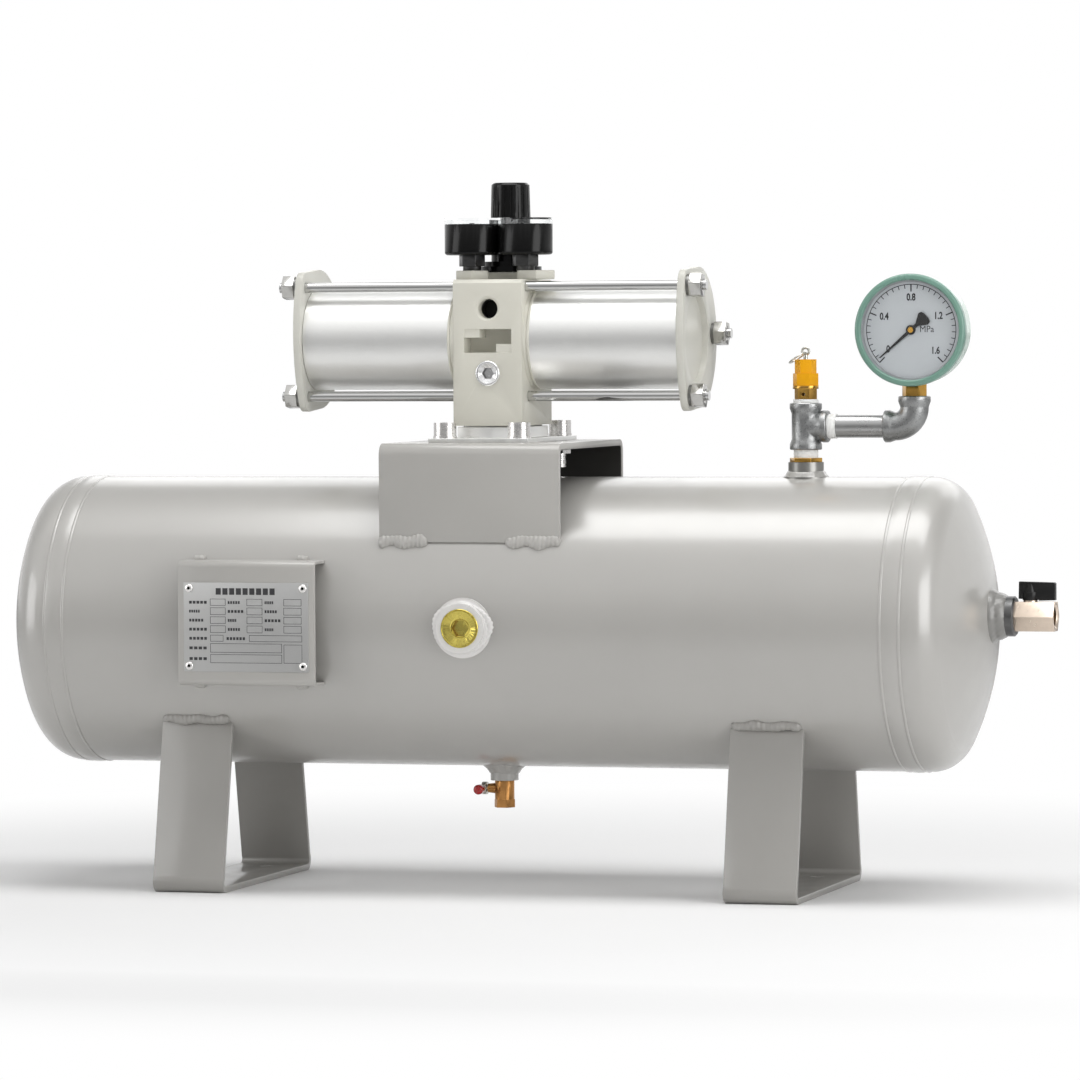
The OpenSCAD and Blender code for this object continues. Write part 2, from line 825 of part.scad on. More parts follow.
module safety_cap() {
    color([0.88, 0.58, 0.02])
    translate([top_x, 0, 0])
        difference() {
            union() {
                translate([0, 0, cap_z]) hex_bar(safety_cap_hex, safety_cap_height);
                translate([0, 0, cap_step]) rotate([0, 0, 14]) hex_bar(cap_top_hex, safety_top_height);
            }
            translate([0, 0, cap_z - 1]) cylinder(r = stem_radius + running_gap, h = cap_top - cap_z + 2);
        }
}

module safety_stem() {
    color(steel)
    translate([top_x, 0, 0]) {
        translate([0, 0, tee_top + 8]) cylinder(r = stem_radius, h = eye_z - eye_radius - tee_top - 8);
        translate([0, 0, tee_top + 5.3]) cylinder(r = 4, h = 3.2);
        translate([0, 0, eye_z]) rotate([90, 0, 0])
            rotate_extrude() translate([eye_radius, 0]) circle(r = eye_wire);
    }
}

module pull_ring() {
    color(steel)
    translate([top_x, 0, eye_z - ring_drop]) rotate([0, ring_lean, 0]) translate([0, 0, -ring_radius])
        rotate([0, 90, 0]) rotate_extrude() translate([ring_radius, 0]) circle(r = ring_wire);
}

module gauge_stem() {
    color(brass)
    difference() {
        translate([elbow_x, 0, 0]) {
            translate([0, 0, elbow_top - thread_depth]) cylinder(r = pipe_radius, h = thread_depth);
            translate([0, 0, elbow_top]) hex_bar(stem_hex, gauge_stem_height + 3);
        }
        to_front(elbow_x, gauge_depth, gauge_z) cylinder(r = case_radius, h = gauge_depth * 2);
        translate([elbow_x, 0, elbow_top - thread_depth - 1]) cylinder(r = 4, h = thread_depth * 4);
    }
}

module gauge_case() {
    color([0.72, 0.8, 0.76])
    difference() {
        to_front(elbow_x, case_back, gauge_z) cylinder(r = case_radius, h = gauge_depth - bezel_depth + 4);
        to_front(elbow_x, case_back - case_wall, gauge_z)
            cylinder(r = case_radius - case_wall, h = gauge_depth);
    }
}

module gauge_bezel() {
    color([0.45, 0.6, 0.55])
    to_front(elbow_x, -gauge_front, gauge_z)
        rotate_extrude() difference() {
            union() {
                translate([case_radius - bezel_lip, -bezel_depth])
                    square([bezel_rim + bezel_lip, bezel_depth - 3]);
                translate([case_radius - bezel_lip, -3]) square([bezel_rim + bezel_lip - 3, 3]);
                translate([bezel_radius - 3, -3]) circle(r = 3);
            }
            translate([0, -bezel_depth - 1]) square([case_radius, bezel_depth - 5]);
            translate([0, -6.5]) square([case_radius - glass_seat, 4]);
        }
}

module gauge_dial() {
    color(white)
    to_front(elbow_x, dial_y + dial_thick, gauge_z)
        difference() {
            union() {
                cylinder(r = case_radius - case_wall, h = dial_thick);
                translate([0, 0, -7]) cylinder(r = 6, h = 7);
            }
            translate([0, 0, -8]) cylinder(r = pointer_shaft + running_gap, h = 12);
        }
}

module gauge_glass() {
    color([0.9, 0.95, 0.95, 0.3])
    to_front(elbow_x, glass_y + glass_thick, gauge_z) cylinder(r = case_radius - glass_seat, h = glass_thick);
}

// Pointer at its zero mark, low on the left, with a flared tail past the hub
module gauge_pointer() {
    color(black)
    to_front(elbow_x, dial_y, gauge_z) {
        translate([0, 0, -6]) cylinder(r = pointer_shaft, h = 8);
        translate([0, 0, 0.6]) cylinder(r = 4.5, h = 1.6);
        translate([0, 0, 0.9]) rotate([0, 0, 221]) linear_extrude(height = 0.8)
            polygon([[39, -0.5], [39, 0.5], [3, 1.6], [-7, 1.6], [-15.5, 6.9], [-18.4, 6.2], [-19.6, 3],
                [-19.6, -3], [-18.4, -6.2], [-15.5, -6.9], [-7, -1.6], [3, -1.6]]);
    }
}

// Curved pressure tube behind the dial, from the stem round to its free end
module bourdon_tube() {
    color(brass)
    to_front(elbow_x, case_back - 8, gauge_z) {
        rotate([0, 0, -90]) rotate_extrude(angle = 250) translate([case_radius - 14, 0]) circle(r = 4);
        intersection() {
            translate([-9, -case_radius, -3]) cube([18, 22, 6]);
            cylinder(r = case_radius - case_wall, h = 10, center = true);
        }
    }
}

module valve_body() {
    color([0.76, 0.7, 0.6])
    difference() {
        union() {
            along_tank(valve_start, 0, outlet_z) rotate([0, 0, 30]) hex_bar(valve_hex, valve_length);
            along_tank(valve_start - thread_depth, 0, outlet_z)
                cylinder(r = pipe_radius, h = thread_depth + 1);
            translate([spindle_x, 0, valve_top - 1]) cylinder(r = gland_radius, h = gland_height + 1);
        }
        along_tank(valve_end - outlet_bore_depth, 0, outlet_z)
            cylinder(r = outlet_bore_radius, h = outlet_bore_depth + 1);
        along_tank(valve_end - 1.7, 0, outlet_z)
            cylinder(r1 = outlet_bore_radius, r2 = outlet_bore_radius + 1.8, h = 1.8);
        along_tank(valve_start - thread_depth - 1, 0, outlet_z)
            cylinder(r = 5, h = valve_length + thread_depth);
        translate([spindle_x, 0, outlet_z]) sphere(r = ball_radius + free_gap);
        translate([spindle_x, 0, outlet_z]) cylinder(r = spindle_radius + running_gap, h = valve_hex);
    }
}

// Ball with its flow hole, and the spindle that turns it
module valve_ball() {
    color(zinc)
    difference() {
        translate([spindle_x, 0, outlet_z]) {
            sphere(r = ball_radius);
            cylinder(r = spindle_radius, h = handle_base + 6 - outlet_z);
        }
        along_tank(spindle_x - ball_radius, 0, outlet_z) cylinder(r = 4.6, h = ball_radius * 2);
    }
}

// Lever handle: a round hub over the spindle and a tapered blade along the flow
module valve_handle() {
    color(black)
    translate([spindle_x, 0, handle_base])
        difference() {
            union() {
                cylinder(r = 7.2, h = 7);
                translate([0, 4, 0]) rotate([90, 0, 0]) linear_extrude(height = 8)
                    polygon([[-handle_back, 0.8], [-handle_back + 0.4, handle_height],
                        [handle_length - handle_back - 1, handle_height - 0.7],
                        [handle_length - handle_back, handle_height - 1.7],
                        [handle_length - handle_back, -0.4], [gland_radius + 2, -0.9],
                        [gland_radius + 2, 0]]);
            }
            translate([0, 0, -1]) cylinder(r = spindle_radius, h = 7);
        }
}

module drain_body() {
    color([0.72, 0.6, 0.42])
    translate([mid, 0, 0])
        difference() {
            union() {
                translate([0, 0, drain_round]) cylinder(r = drain_diameter / 2, h = drain_round_height);
                translate([0, 0, drain_end]) hex_bar(17.4, drain_hex_height);
                translate([0, 0, drain_face]) cylinder(r = drain_bore_radius, h = 8);
                translate([-bonnet_end, 0, drain_z]) rotate([0, 90, 0])
                    cylinder(r1 = 4.2, r2 = 6, h = bonnet_end);
            }
            translate([0, 0, drain_end - 1]) cylinder(r = drain_bore_radius, h = 11);
            translate([0, 0, drain_end]) cylinder(r = 3.5, h = drain_face + 9 - drain_end);
            translate([-bonnet_end - 1, 0, drain_z]) rotate([0, 90, 0])
                cylinder(r = lever_radius + running_gap, h = bonnet_end - 3);
        }
}

module drain_lever() {
    color(steel)
    translate([mid, 0, drain_z]) {
        translate([-lever_x, 0, 0]) rotate([0, 90, 0]) cylinder(r = lever_radius, h = lever_x - 5);
        translate([-lever_x - 2.2, 0, 0]) rotate([0, 90, 0]) cylinder(r = 6, h = 4.4);
        translate([-lever_x, 0, 0]) rotate([90, 0, 0]) cylinder(r = 2, h = drain_lever_reach - 9);
    }
}

module drain_grip() {
    color([0.75, 0.1, 0.08])
    translate([mid - lever_x, -drain_lever_reach + 9, drain_z]) rotate([90, 0, 0])
        rotate_extrude() {
            square([drain_grip_diameter / 2, 6]);
            translate([0, 6]) square([drain_grip_diameter / 2 - 3, 3]);
            intersection() {
                translate([drain_grip_diameter / 2 - 3, 6]) circle(r = 3);
                square([drain_grip_diameter, 10]);
            }
        }
}

module at_rods() {
    for (turn = [60 - rod_turn, 180 - rod_turn, 300 - rod_turn])
        translate([0, -rod_circle * cos(turn), rod_circle * sin(turn)]) children();
}

module booster_block() {
    color(beige)
    difference() {
        union() {
            translate([mid - block_length / 2, -block_front, block_bottom])
                cube([block_length, block_front + block_back, block_top - block_bottom]);
            along_tank(mid - tube_start, 0, booster_z) cylinder(r = collar_round, h = tube_start * 2);
        }
        along_tank(mid - tube_start - 1, 0, booster_z)
            cylinder(r = piston_rod_diameter / 2 + running_gap, h = tube_start * 2 + 2);
        translate([0, 0, booster_z]) at_rods()
            along_tank(mid - tube_start - 1, 0, 0) cylinder(r = rod_radius + rod_gap, h = tube_start * 2 + 2);
        for (side = [-1, 1])
            along_tank(mid + side * (block_length / 2 + collar_groove) - 0.4, 0, booster_z)
                ring(collar_round + 1, collar_round - 0.7, 0.8);
        along_outline(mid - block_length, mid + block_length)
            polygon([[-block_front - 1, block_top - block_chamfer - 1], [-block_front - 1, block_top + 1],
                [block_chamfer - block_front + 1, block_top + 1]]);
        to_front(mid, port_depth - block_front, port_z) cylinder(r = port_radius, h = port_depth + 1);
        to_front(mid, 2.2 - block_front, port_z) cylinder(r1 = port_radius, r2 = port_radius + 2.3, h = 2.3);
        to_front(mid, 14 - block_front, plug_z) cylinder(r = plug_radius, h = 15);
        difference() {
            translate([mid - 23, -block_front - 1, booster_z - 12.6]) cube([46, block_recess + 1, 22]);
            translate([mid - 24, -block_front + 1, booster_z + 1.4]) cube([16, block_recess, 9]);
            translate([mid + 8, -block_front + 1, booster_z - 13.6]) cube([16, block_recess, 9]);
        }
    }
}

module block_plug() {
    color(zinc)
    to_front(mid, -block_front, plug_z)
        difference() {
            union() {
                translate([0, 0, -12]) cylinder(r = plug_radius - rod_gap, h = 13);
                cylinder(r1 = 11.8, r2 = 11, h = 1.8);
            }
            translate([0, 0, -5]) hex_bar(10, 8);
            translate([0, 0, 0.9]) cylinder(r = 8.4, h = 2);
        }
}

module booster_spacer(inset, height) {
    translate([mid - block_length / 2 + inset, -block_front + inset, bracket_top])
        cube([block_length - inset * 2, block_front + block_back - inset * 2, height]);
}

module booster_foot() {
    color(aluminium)
    difference() {
        union() {
            translate([mid - foot_plate_length / 2, 2 - foot_plate_depth / 2, bracket_top])
                cube([foot_plate_length, foot_plate_depth, foot_plate_thick]);
            booster_spacer(spacer_inset, foot_plate_thick + spacer_height - spacer_gap);
            booster_spacer(spacer_inset * 2.5, foot_plate_thick + spacer_height);
        }
        at_foot_screws() translate([0, 0, bracket_top - 1])
            cylinder(r = screw_radius + free_gap, h = foot_plate_thick + 2);
    }
}

module foot_screws() {
    color(zinc)
    at_foot_screws() translate([0, 0, bracket_top + foot_plate_thick])
        difference() {
            union() {
                cylinder(r = screw_head_radius + 0.6, h = screw_washer);
                cylinder(r = screw_head_radius, h = screw_washer + screw_head);
                translate([0, 0, -foot_plate_thick - bracket_plate - screw_tail])
                    cylinder(r = screw_radius, h = foot_plate_thick + bracket_plate + screw_tail + 1);
                translate([0, 0, -foot_plate_thick - bracket_plate - screw_nut]) hex_bar(18, screw_nut);
            }
            translate([0, 0, screw_washer + screw_head - 6]) hex_bar(10, 7);
        }
}

module tube(x) {
    color(aluminium)
    along_tank(x, 0, booster_z) ring(tube_radius, tube_bore, tube_end - tube_start);
}

module tube_left() {
    tube(mid - tube_end);
}

module tube_right() {
    tube(mid + tube_start);
}

// End cover outline in depth and height: a gentle front curve, round corners at the front rods, a round back
module cover_outline() {
    intersection() {
        translate([cover_round_centre, 0]) circle(r = cover_half);
        translate([0, -cover_half * 2]) square([cover_half * 3, cover_half * 4]);
    }
    translate([-corner_front, outline_step - cover_half])
        square([corner_front + cover_round_centre, (cover_half - outline_step) * 2]);
    for (end = [-1, 1])
        translate([-corner_front, end * rod_height]) circle(r = cover_margin);
    intersection() {
        translate([front_arc_centre, 0]) circle(r = cover_front_radius - outline_step);
        polygon([[0, 0], [-corner_front, rod_height], [front_arc_far, rod_height * 2],
            [front_arc_far, -rod_height * 2], [-corner_front, -rod_height]]);
    }
}

// Right end cover, drawn with its inside face at x = 0
module end_cover() {
    difference() {
        union() {
            along_outline(0, cover_thick) rotate(rod_turn) cover_outline();
            along_tank(-cover_boss, 0, 0) cylinder(r = tube_bore + 1, h = cover_boss + 1);
            along_tank(-cover_boss - pilot_length, 0, 0) cylinder(r = tube_bore, h = pilot_length + 1);
        }
        along_tank(cover_thick - cover_recess, 0, 0) cylinder(r = cover_recess_radius, h = cover_recess + 1);
        at_rods() along_tank(-pilot_length - 1, 0, 0)
            cylinder(r = rod_radius + rod_gap, h = cover_thick + pilot_length + 2);
    }
}

module cover_left() {
    color(beige) translate([mid - cover_face, 0, booster_z]) mirror([1, 0, 0]) end_cover();
}

module cover_right() {
    color(beige) translate([mid + cover_face, 0, booster_z]) end_cover();
}

module tie_rods() {
    color(steel)
    translate([mid, 0, booster_z]) at_rods()
        along_tank(-booster_length / 2 - washer_height - nut_height - stud_end, 0, 0)
            cylinder(r = rod_radius, h = booster_length + (washer_height + nut_height + stud_end) * 2);
}

// Puts a shape, drawn upwards from z = 0, on both outside faces of the end covers at every tie rod
module at_rod_ends() {
    translate([mid, 0, booster_z]) at_rods() {
        along_tank(booster_length / 2, 0, 0) children();
        mirror([1, 0, 0]) along_tank(booster_length / 2, 0, 0) children();
    }
}

module rod_nuts() {
    color(zinc)
    at_rod_ends() translate([0, 0, washer_height]) rotate([0, 0, 22])
        difference() {
            hex_bar(nut_hex, nut_height);
            translate([0, 0, -1]) cylinder(r = rod_radius, h = nut_height + 2);
        }
}

module rod_washers() {
    color(zinc)
    at_rod_ends()
        difference() {
            ring(nut_hex / 2 - 0.4, rod_radius, washer_height);
            rotate([0, 20, 70]) translate([0, -0.5, -washer_height]) cube([nut_hex, 1, washer_height * 3]);
        }
}

module piston_rod() {
    color(steel)
    along_tank(mid - piston_middle - piston_thick / 2, 0, booster_z)
        cylinder(r = piston_rod_diameter / 2, h = piston_middle * 2 + piston_thick);
}

module pistons() {
    color(aluminium)
    for (side = [-1, 1])
        along_tank(mid + side * piston_middle - piston_thick / 2, 0, booster_z)
            difference() {
                ring(tube_bore - running_gap, piston_rod_diameter / 2, piston_thick);
                translate([0, 0, piston_thick / 2 - 3]) ring(tube_bore + 1, tube_bore - 4, 6);
            }
}

module at_small_gauges() {
    for (side = [-1, 1])
        translate([regulator_x + side * small_gauge_spacing / 2, -small_gauge_front, 0]) children();
}

// Low cover on the block with a hexagon under each small gauge and a round seat for the regulator
module regulator_base() {
    color(beige)
    translate([0, 0, block_top]) {
        difference() {
            union() {
                translate([regulator_x - small_gauge_spacing / 2, -small_gauge_front, 0])
                    rotate([0, 0, base_turn]) hex_bar(base_hex, regulator_height);
                translate([regulator_x + base_side_x, -base_side_front, 0]) rotate([0, 0, base_turn])
                    hex_bar(base_side_hex, regulator_height);
                translate([regulator_x, regulator_back, 0])
                    cylinder(r = seat_radius, h = regulator_height - base_tier);
                translate([regulator_x - small_gauge_spacing / 2, 8 - small_gauge_front, 0])
                    cube([small_gauge_spacing, regulator_back + small_gauge_front - 8,
                        regulator_height - base_tier]);
            }
            at_small_gauges() translate([0, 0, 1]) cylinder(r = adapter_stub, h = regulator_height);
            translate([regulator_x, regulator_back, -1]) cylinder(r = bonnet_seat, h = regulator_height + 2);
            translate([regulator_x, regulator_back, regulator_height - base_tier])
                cylinder(r = bonnet_flange, h = base_tier + 1);
        }
    }
}

module regulator_bonnet() {
    color(black)
    translate([regulator_x, regulator_back, 0]) {
        translate([0, 0, block_top]) cylinder(r = bonnet_seat, h = regulator_height + 1);
        translate([0, 0, regulator_top - base_tier]) cylinder(r = bonnet_flange, h = 4 + base_tier);
        translate([0, 0, regulator_top]) cylinder(r = bonnet_flange - 3.5, h = 8.6);
        translate([0, 0, regulator_top]) cylinder(r = bonnet_radius, h = 22);
        translate([0, 0, regulator_top]) cylinder(r = 13, h = knob_lift - free_gap);
        translate([0, 0, regulator_top]) cylinder(r = knob_stem, h = knob_lift + knob_height - 8);
    }
}

// Knob with a slight taper, upright grooves and a bore that turns on the bonnet's stem
module regulator_knob() {
    color(black)
    translate([regulator_x, regulator_back, knob_base])
        difference() {
            rotate_extrude() {
                polygon([[knob_stem + running_gap, 0], [knob_diameter / 2, 0], [knob_diameter / 2, 2],
                    [knob_diameter / 2 - 1, 3], [knob_diameter / 2 - 2, knob_height - 2],
                    [knob_diameter / 2 - 4, knob_height], [knob_stem + running_gap, knob_height]]);
                translate([0, knob_height - 6]) square([knob_stem + 1, 6]);
            }
            for (turn = [0:20:340])
                rotate([0, 0, turn + 8]) translate([knob_diameter / 2 - 2.2, -0.6, 5])
                    cube([4, 1.2, knob_height - 10]);
        }
}

module gauge_adapters() {
    color([0.35, 0.35, 0.36])
    at_small_gauges() {
        translate([0, 0, block_top + 1]) cylinder(r = adapter_stub, h = regulator_height + 4);
        translate([0, 0, regulator_top]) cylinder(r = adapter_collar, h = 4.2);
        translate([0, 0, regulator_top + 4]) hex_bar(22, adapter_height - 4);
    }
}

module small_cases() {
    color(black)
    at_small_gauges() translate([0, 0, adapter_top])
        difference() {
            rotate_extrude() {
                square([small_radius - 3, 3]);
                translate([0, 3]) square([small_radius, small_case_height - 3]);
                intersection() {
                    translate([small_radius - 3, 3]) circle(r = 3);
                    square([small_radius, 3]);
                }
            }
            translate([0, 0, small_case_height - 3]) cylinder(r = small_radius - 2, h = 4);
            translate([0, 0, small_case_height - 9]) cylinder(r = small_shaft + running_gap, h = 10);
        }
}

module small_dials() {
    color(white)
    at_small_gauges() translate([0, 0, small_case_top - 3])
        ring(small_radius - 2, small_shaft + running_gap, 1);
}

module small_lenses() {
    color([0.92, 0.95, 0.95, 0.3])
    at_small_gauges() translate([0, 0, small_case_top])
        difference() {
            cylinder(r = small_radius, h = small_lens_height);
            translate([0, 0, -1]) cylinder(r = small_radius - 2, h = small_lens_height - 0.8);
        }
}

module small_pointer(side) {
    color(black)
    translate([regulator_x + side * small_gauge_spacing / 2, -small_gauge_front, small_case_top]) {
        translate([0, 0, -8]) cylinder(r = small_shaft, h = 9);
        translate([0, 0, -1.2]) cylinder(r = 2.4, h = 2.2);
        translate([0, 0, -1]) rotate([0, 0, 225]) linear_extrude(height = 0.7)
            polygon([[18, -0.4], [18, 0.4], [0, 1.1], [-7, 1.4], [-7, -1.4], [0, -1.1]]);
    }
}

module small_pointer_left() {
    small_pointer(-1);
}

module small_pointer_right() {
    small_pointer(1);
}

tank_shell();
tank_head_left();
tank_head_right();
girth_welds();
leg_left();
leg_right();
booster_bracket();
nameplate_holder();
nameplate();
nameplate_rivets();
top_socket();
front_socket();
drain_socket();
outlet_socket();
front_plug();
hex_nipple();
pipe_tee();
pipe_nipple();
pipe_elbow();
thread_tape();
safety_body();
safety_cap();
safety_stem();
pull_ring();
gauge_stem();
gauge_case();
gauge_bezel();
gauge_dial();
gauge_glass();
gauge_pointer();
bourdon_tube();
valve_body();
valve_ball();
valve_handle();
drain_body();
drain_lever();
drain_grip();
booster_block();
block_plug();
booster_foot();
foot_screws();
tube_left();
tube_right();
cover_left();
cover_right();
tie_rods();
rod_nuts();
rod_washers();
piston_rod();
pistons();
regulator_base();
regulator_bonnet();
regulator_knob();
gauge_adapters();
small_cases();
small_lenses();
small_dials();
small_pointer_left();
small_pointer_right();
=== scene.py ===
import json
import math
import bmesh
import bpy
import numpy as np
from mathutils import Matrix, Vector


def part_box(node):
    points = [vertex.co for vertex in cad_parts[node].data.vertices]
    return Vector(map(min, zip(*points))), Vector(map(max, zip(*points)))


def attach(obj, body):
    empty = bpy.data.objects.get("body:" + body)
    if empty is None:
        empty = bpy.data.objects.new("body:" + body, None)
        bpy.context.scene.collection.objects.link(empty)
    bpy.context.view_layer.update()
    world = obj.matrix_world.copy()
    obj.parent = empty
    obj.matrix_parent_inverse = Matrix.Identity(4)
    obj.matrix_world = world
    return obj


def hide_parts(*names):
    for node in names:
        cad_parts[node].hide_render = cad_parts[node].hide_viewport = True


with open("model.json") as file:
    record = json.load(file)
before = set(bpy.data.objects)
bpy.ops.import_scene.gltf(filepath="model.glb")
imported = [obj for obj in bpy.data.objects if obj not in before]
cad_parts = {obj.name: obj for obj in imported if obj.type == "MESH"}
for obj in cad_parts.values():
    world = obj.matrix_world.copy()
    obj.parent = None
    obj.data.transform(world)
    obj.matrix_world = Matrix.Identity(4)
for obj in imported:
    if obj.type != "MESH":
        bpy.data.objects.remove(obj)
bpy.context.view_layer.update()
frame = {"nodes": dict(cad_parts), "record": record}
nodes = frame["nodes"]
record = frame["record"]
bodyOf = {n: b for b, ns in record["behaviour"]["bodies"].items() for n in ns}
mm = 0.001
tau = 2 * math.pi


def srgb(colour):
    # screen colour 0-255 to the linear values a shader socket takes
    c = np.array(colour) / 255
    lin = np.where(c <= 0.04045, c / 12.92, ((c + 0.055) / 1.055) ** 2.4)
    return (*lin.tolist(), 1.0)


def boxMm(name):
    # lowest and highest corners of a CAD node, in millimetres
    low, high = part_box(name)
    return np.array(low) / mm, np.array(high) / mm


def midMm(name):
    # middle of a CAD node's box, in millimetres
    low, high = boxMm(name)
    return (low + high) / 2


def frontMm(name, rise=0.0):
    # middle of a CAD node's front face, carried back by rise
    mid = midMm(name)
    return mid[0], boxMm(name)[0][1] + rise, mid[2]


# finishes: each one is a Principled shader with its own relief and colour change

def newFinish(name):
    # an empty material with its node tree and its Principled shader
    mat = bpy.data.materials.new(name)
    mat.use_nodes = True
    tree = mat.node_tree
    return mat, tree, tree.nodes["Principled BSDF"]


def setInputs(node, values):
    # numbers and colours on a node's sockets
    for key, value in values.items():
        node.inputs[key].default_value = value


def noiseField(tree, scale, detail, stretch=(1, 1, 1)):
    # noise on Object coordinates, drawn out by stretch
    coord = tree.nodes.new("ShaderNodeTexCoord")
    mapping = tree.nodes.new("ShaderNodeMapping")
    mapping.inputs["Scale"].default_value = stretch
    noise = tree.nodes.new("ShaderNodeTexNoise")
    setInputs(noise, {"Scale": scale, "Detail": detail})
    tree.links.new(coord.outputs["Object"], mapping.inputs["Vector"])
    tree.links.new(mapping.outputs["Vector"], noise.inputs["Vector"])
    return noise.outputs["Fac"]


def addRelief(tree, bsdf, field, strength, distance):
    # fine relief from a noise field
    bump = tree.nodes.new("ShaderNodeBump")
    setInputs(bump, {"Strength": strength, "Distance": distance})
    tree.links.new(field, bump.inputs["Height"])
    tree.links.new(bump.outputs["Normal"], bsdf.inputs["Normal"])


def spread(tree, field, socket, low, high, start=0.3, end=0.7):
    # a noise field spread between two colours or two numbers
    ramp = tree.nodes.new("ShaderNodeValToRGB")
    for element, position, level in zip(ramp.color_ramp.elements, (start, end), (low, high)):
        element.position = position
        element.color = (level, level, level, 1) if isinstance(level, (int, float)) else level
    tree.links.new(field, ramp.inputs["Fac"])
    tree.links.new(ramp.outputs["Color"], socket)


def shade(colour, factor):
    # a screen colour as linear values, darker or lighter
    r, g, b, alpha = srgb(colour)
    return (r * factor, g * factor, b * factor, alpha)


def paintFinish(name, colour, rough=0.38, peel=0.06, coat=0.0, cloud=0.05, gloss=1.5, coatRough=0.14,
                sheen=0.5):
    # sprayed paint: faint cloudiness, orange peel, roughness that wanders a little
    mat, tree, bsdf = newFinish(name)
    clouds = noiseField(tree, scale=9, detail=3)
    spread(tree, clouds, bsdf.inputs["Base Color"], shade(colour, 1 - cloud), shade(colour, 1 + cloud))
    spread(tree, noiseField(tree, scale=40, detail=4), bsdf.inputs["Roughness"], rough - 0.05, rough + 0.05)
    setInputs(bsdf, {"Coat Weight": coat, "Coat Roughness": coatRough, "Coat IOR": gloss,
                     "Specular IOR Level": sheen})
    addRelief(tree, bsdf, noiseField(tree, scale=380, detail=1.5), peel, distance=0.0004)
    return mat


def metalFinish(name, colour, rough, grain=0.08, scale=300, stretch=(1, 1, 1), distance=0.0003, tone=0.06):
    # bare metal: drawn or cast grain, tone and roughness that follow the grain
    mat, tree, bsdf = newFinish(name)
    bsdf.inputs["Metallic"].default_value = 1.0
    field = noiseField(tree, scale, detail=4, stretch=stretch)
    spread(tree, field, bsdf.inputs["Base Color"], shade(colour, 1 - tone), shade(colour, 1 + tone))
    spread(tree, field, bsdf.inputs["Roughness"], rough * 0.8, rough * 1.2)
    addRelief(tree, bsdf, field, grain, distance)
    return mat


def plasticFinish(name, colour, rough=0.3, coat=0.0, grain=0.05, sheen=0.5):
    # moulded plastic: even colour with a fine moulded grain
    mat, tree, bsdf = newFinish(name)
    setInputs(bsdf, {"Base Color": srgb(colour), "Coat Weight": coat, "Specular IOR Level": sheen})
    spread(tree, noiseField(tree, scale=60, detail=3), bsdf.inputs["Roughness"], rough - 0.04, rough + 0.04)
    addRelief(tree, bsdf, noiseField(tree, scale=900, detail=2), grain, distance=0.0002)
    return mat


def glassFinish(name, colour, index):
    # clear glass; a low index keeps a thin pane from bending what lies behind it
    mat, tree, bsdf = newFinish(name)
    setInputs(bsdf, {"Base Color": colour, "Roughness": 0.03, "Transmission Weight": 1.0, "IOR": index})
    return mat


tankPaint = paintFinish("tankPaint", (163, 161, 157), rough=0.4, peel=0.03, coat=0.9,
                        cloud=0.02, gloss=1.8, coatRough=0.22)
bracketPaint = paintFinish("bracketPaint", (166, 164, 160), rough=0.38, peel=0.05, coat=0.4, cloud=0.03)
# painted shade: the bracket's grey darkened for the legs and their welds, which stand in the tank's shadow
legShadePaint = paintFinish("legShadePaint", (147, 145, 141), rough=0.38, peel=0.05, coat=0.4, cloud=0.03)
socketPaint = paintFinish("socketPaint", (210, 208, 206), rough=0.3, peel=0.25, coat=0.3)
boosterPaint = paintFinish("boosterPaint", (204, 202, 191), rough=0.42, peel=0.05)
coverPaint = paintFinish("coverPaint", (200, 199, 191), rough=0.4, peel=0.05)
casePaint = paintFinish("casePaint", (200, 216, 207), rough=0.24, peel=0.02, coat=0.4)
bezelPaint = paintFinish("bezelPaint", (108, 145, 131), rough=0.3, peel=0.04, coat=0.2)
capPaint = paintFinish("capPaint", (226, 160, 5), rough=0.34, peel=0.02, cloud=0.02, sheen=0.3)
dialPaint = paintFinish("dialPaint", (172, 176, 179), rough=0.5, peel=0.0, cloud=0.02, sheen=0.2)
# painted shade: grey for the cone round the dial, darkened for the bezel's shadow
dialRingShade = paintFinish("dialRingShade", (146, 150, 152), rough=0.4, peel=0.02)
dialInk = plasticFinish("dialInk", (26, 26, 28), rough=0.5)
plateInk = plasticFinish("plateInk", (46, 46, 48), rough=0.55)
pointerBlack = plasticFinish("pointerBlack", (14, 14, 15), rough=0.35)
tubeAluminium = metalFinish("tubeAluminium", (242, 242, 240), rough=0.38, grain=0.0, scale=260,
                            stretch=(1, 12, 12), tone=0.02)
footAluminium = metalFinish("footAluminium", (224, 224, 222), rough=0.42, grain=0.03, scale=160,
                            tone=0.03)
plateAluminium = metalFinish("plateAluminium", (186, 186, 185), rough=0.46, grain=0.06,
                             scale=160, stretch=(1, 1, 9), tone=0.03)
rodChrome = metalFinish("rodChrome", (200, 200, 199), rough=0.06, grain=0.02, scale=200,
                        stretch=(1, 6, 6), tone=0.02)
zincSteel = metalFinish("zincSteel", (190, 189, 186), rough=0.14, grain=0.02, scale=260, tone=0.04)
washerSteel = metalFinish("washerSteel", (126, 126, 124), rough=0.34, grain=0.04, scale=260)
threadSteel = metalFinish("threadSteel", (180, 181, 184), rough=0.26, grain=0.05, scale=300)
steelWire = metalFinish("steelWire", (198, 196, 188), rough=0.2, grain=0.05, scale=300)
adapterSteel = metalFinish("adapterSteel", (84, 84, 84), rough=0.34, grain=0.03, scale=300)
yellowBrass = metalFinish("yellowBrass", (190, 148, 74), rough=0.22, grain=0.04, scale=240)
plugBrass = metalFinish("plugBrass", (206, 190, 98), rough=0.26, grain=0.06, scale=200)
nickelBrass = metalFinish("nickelBrass", (218, 202, 186), rough=0.34, grain=0.04, scale=200, tone=0.03)
drainBronze = metalFinish("drainBronze", (182, 132, 78), rough=0.34, grain=0.4, scale=420,
                          distance=0.0004)
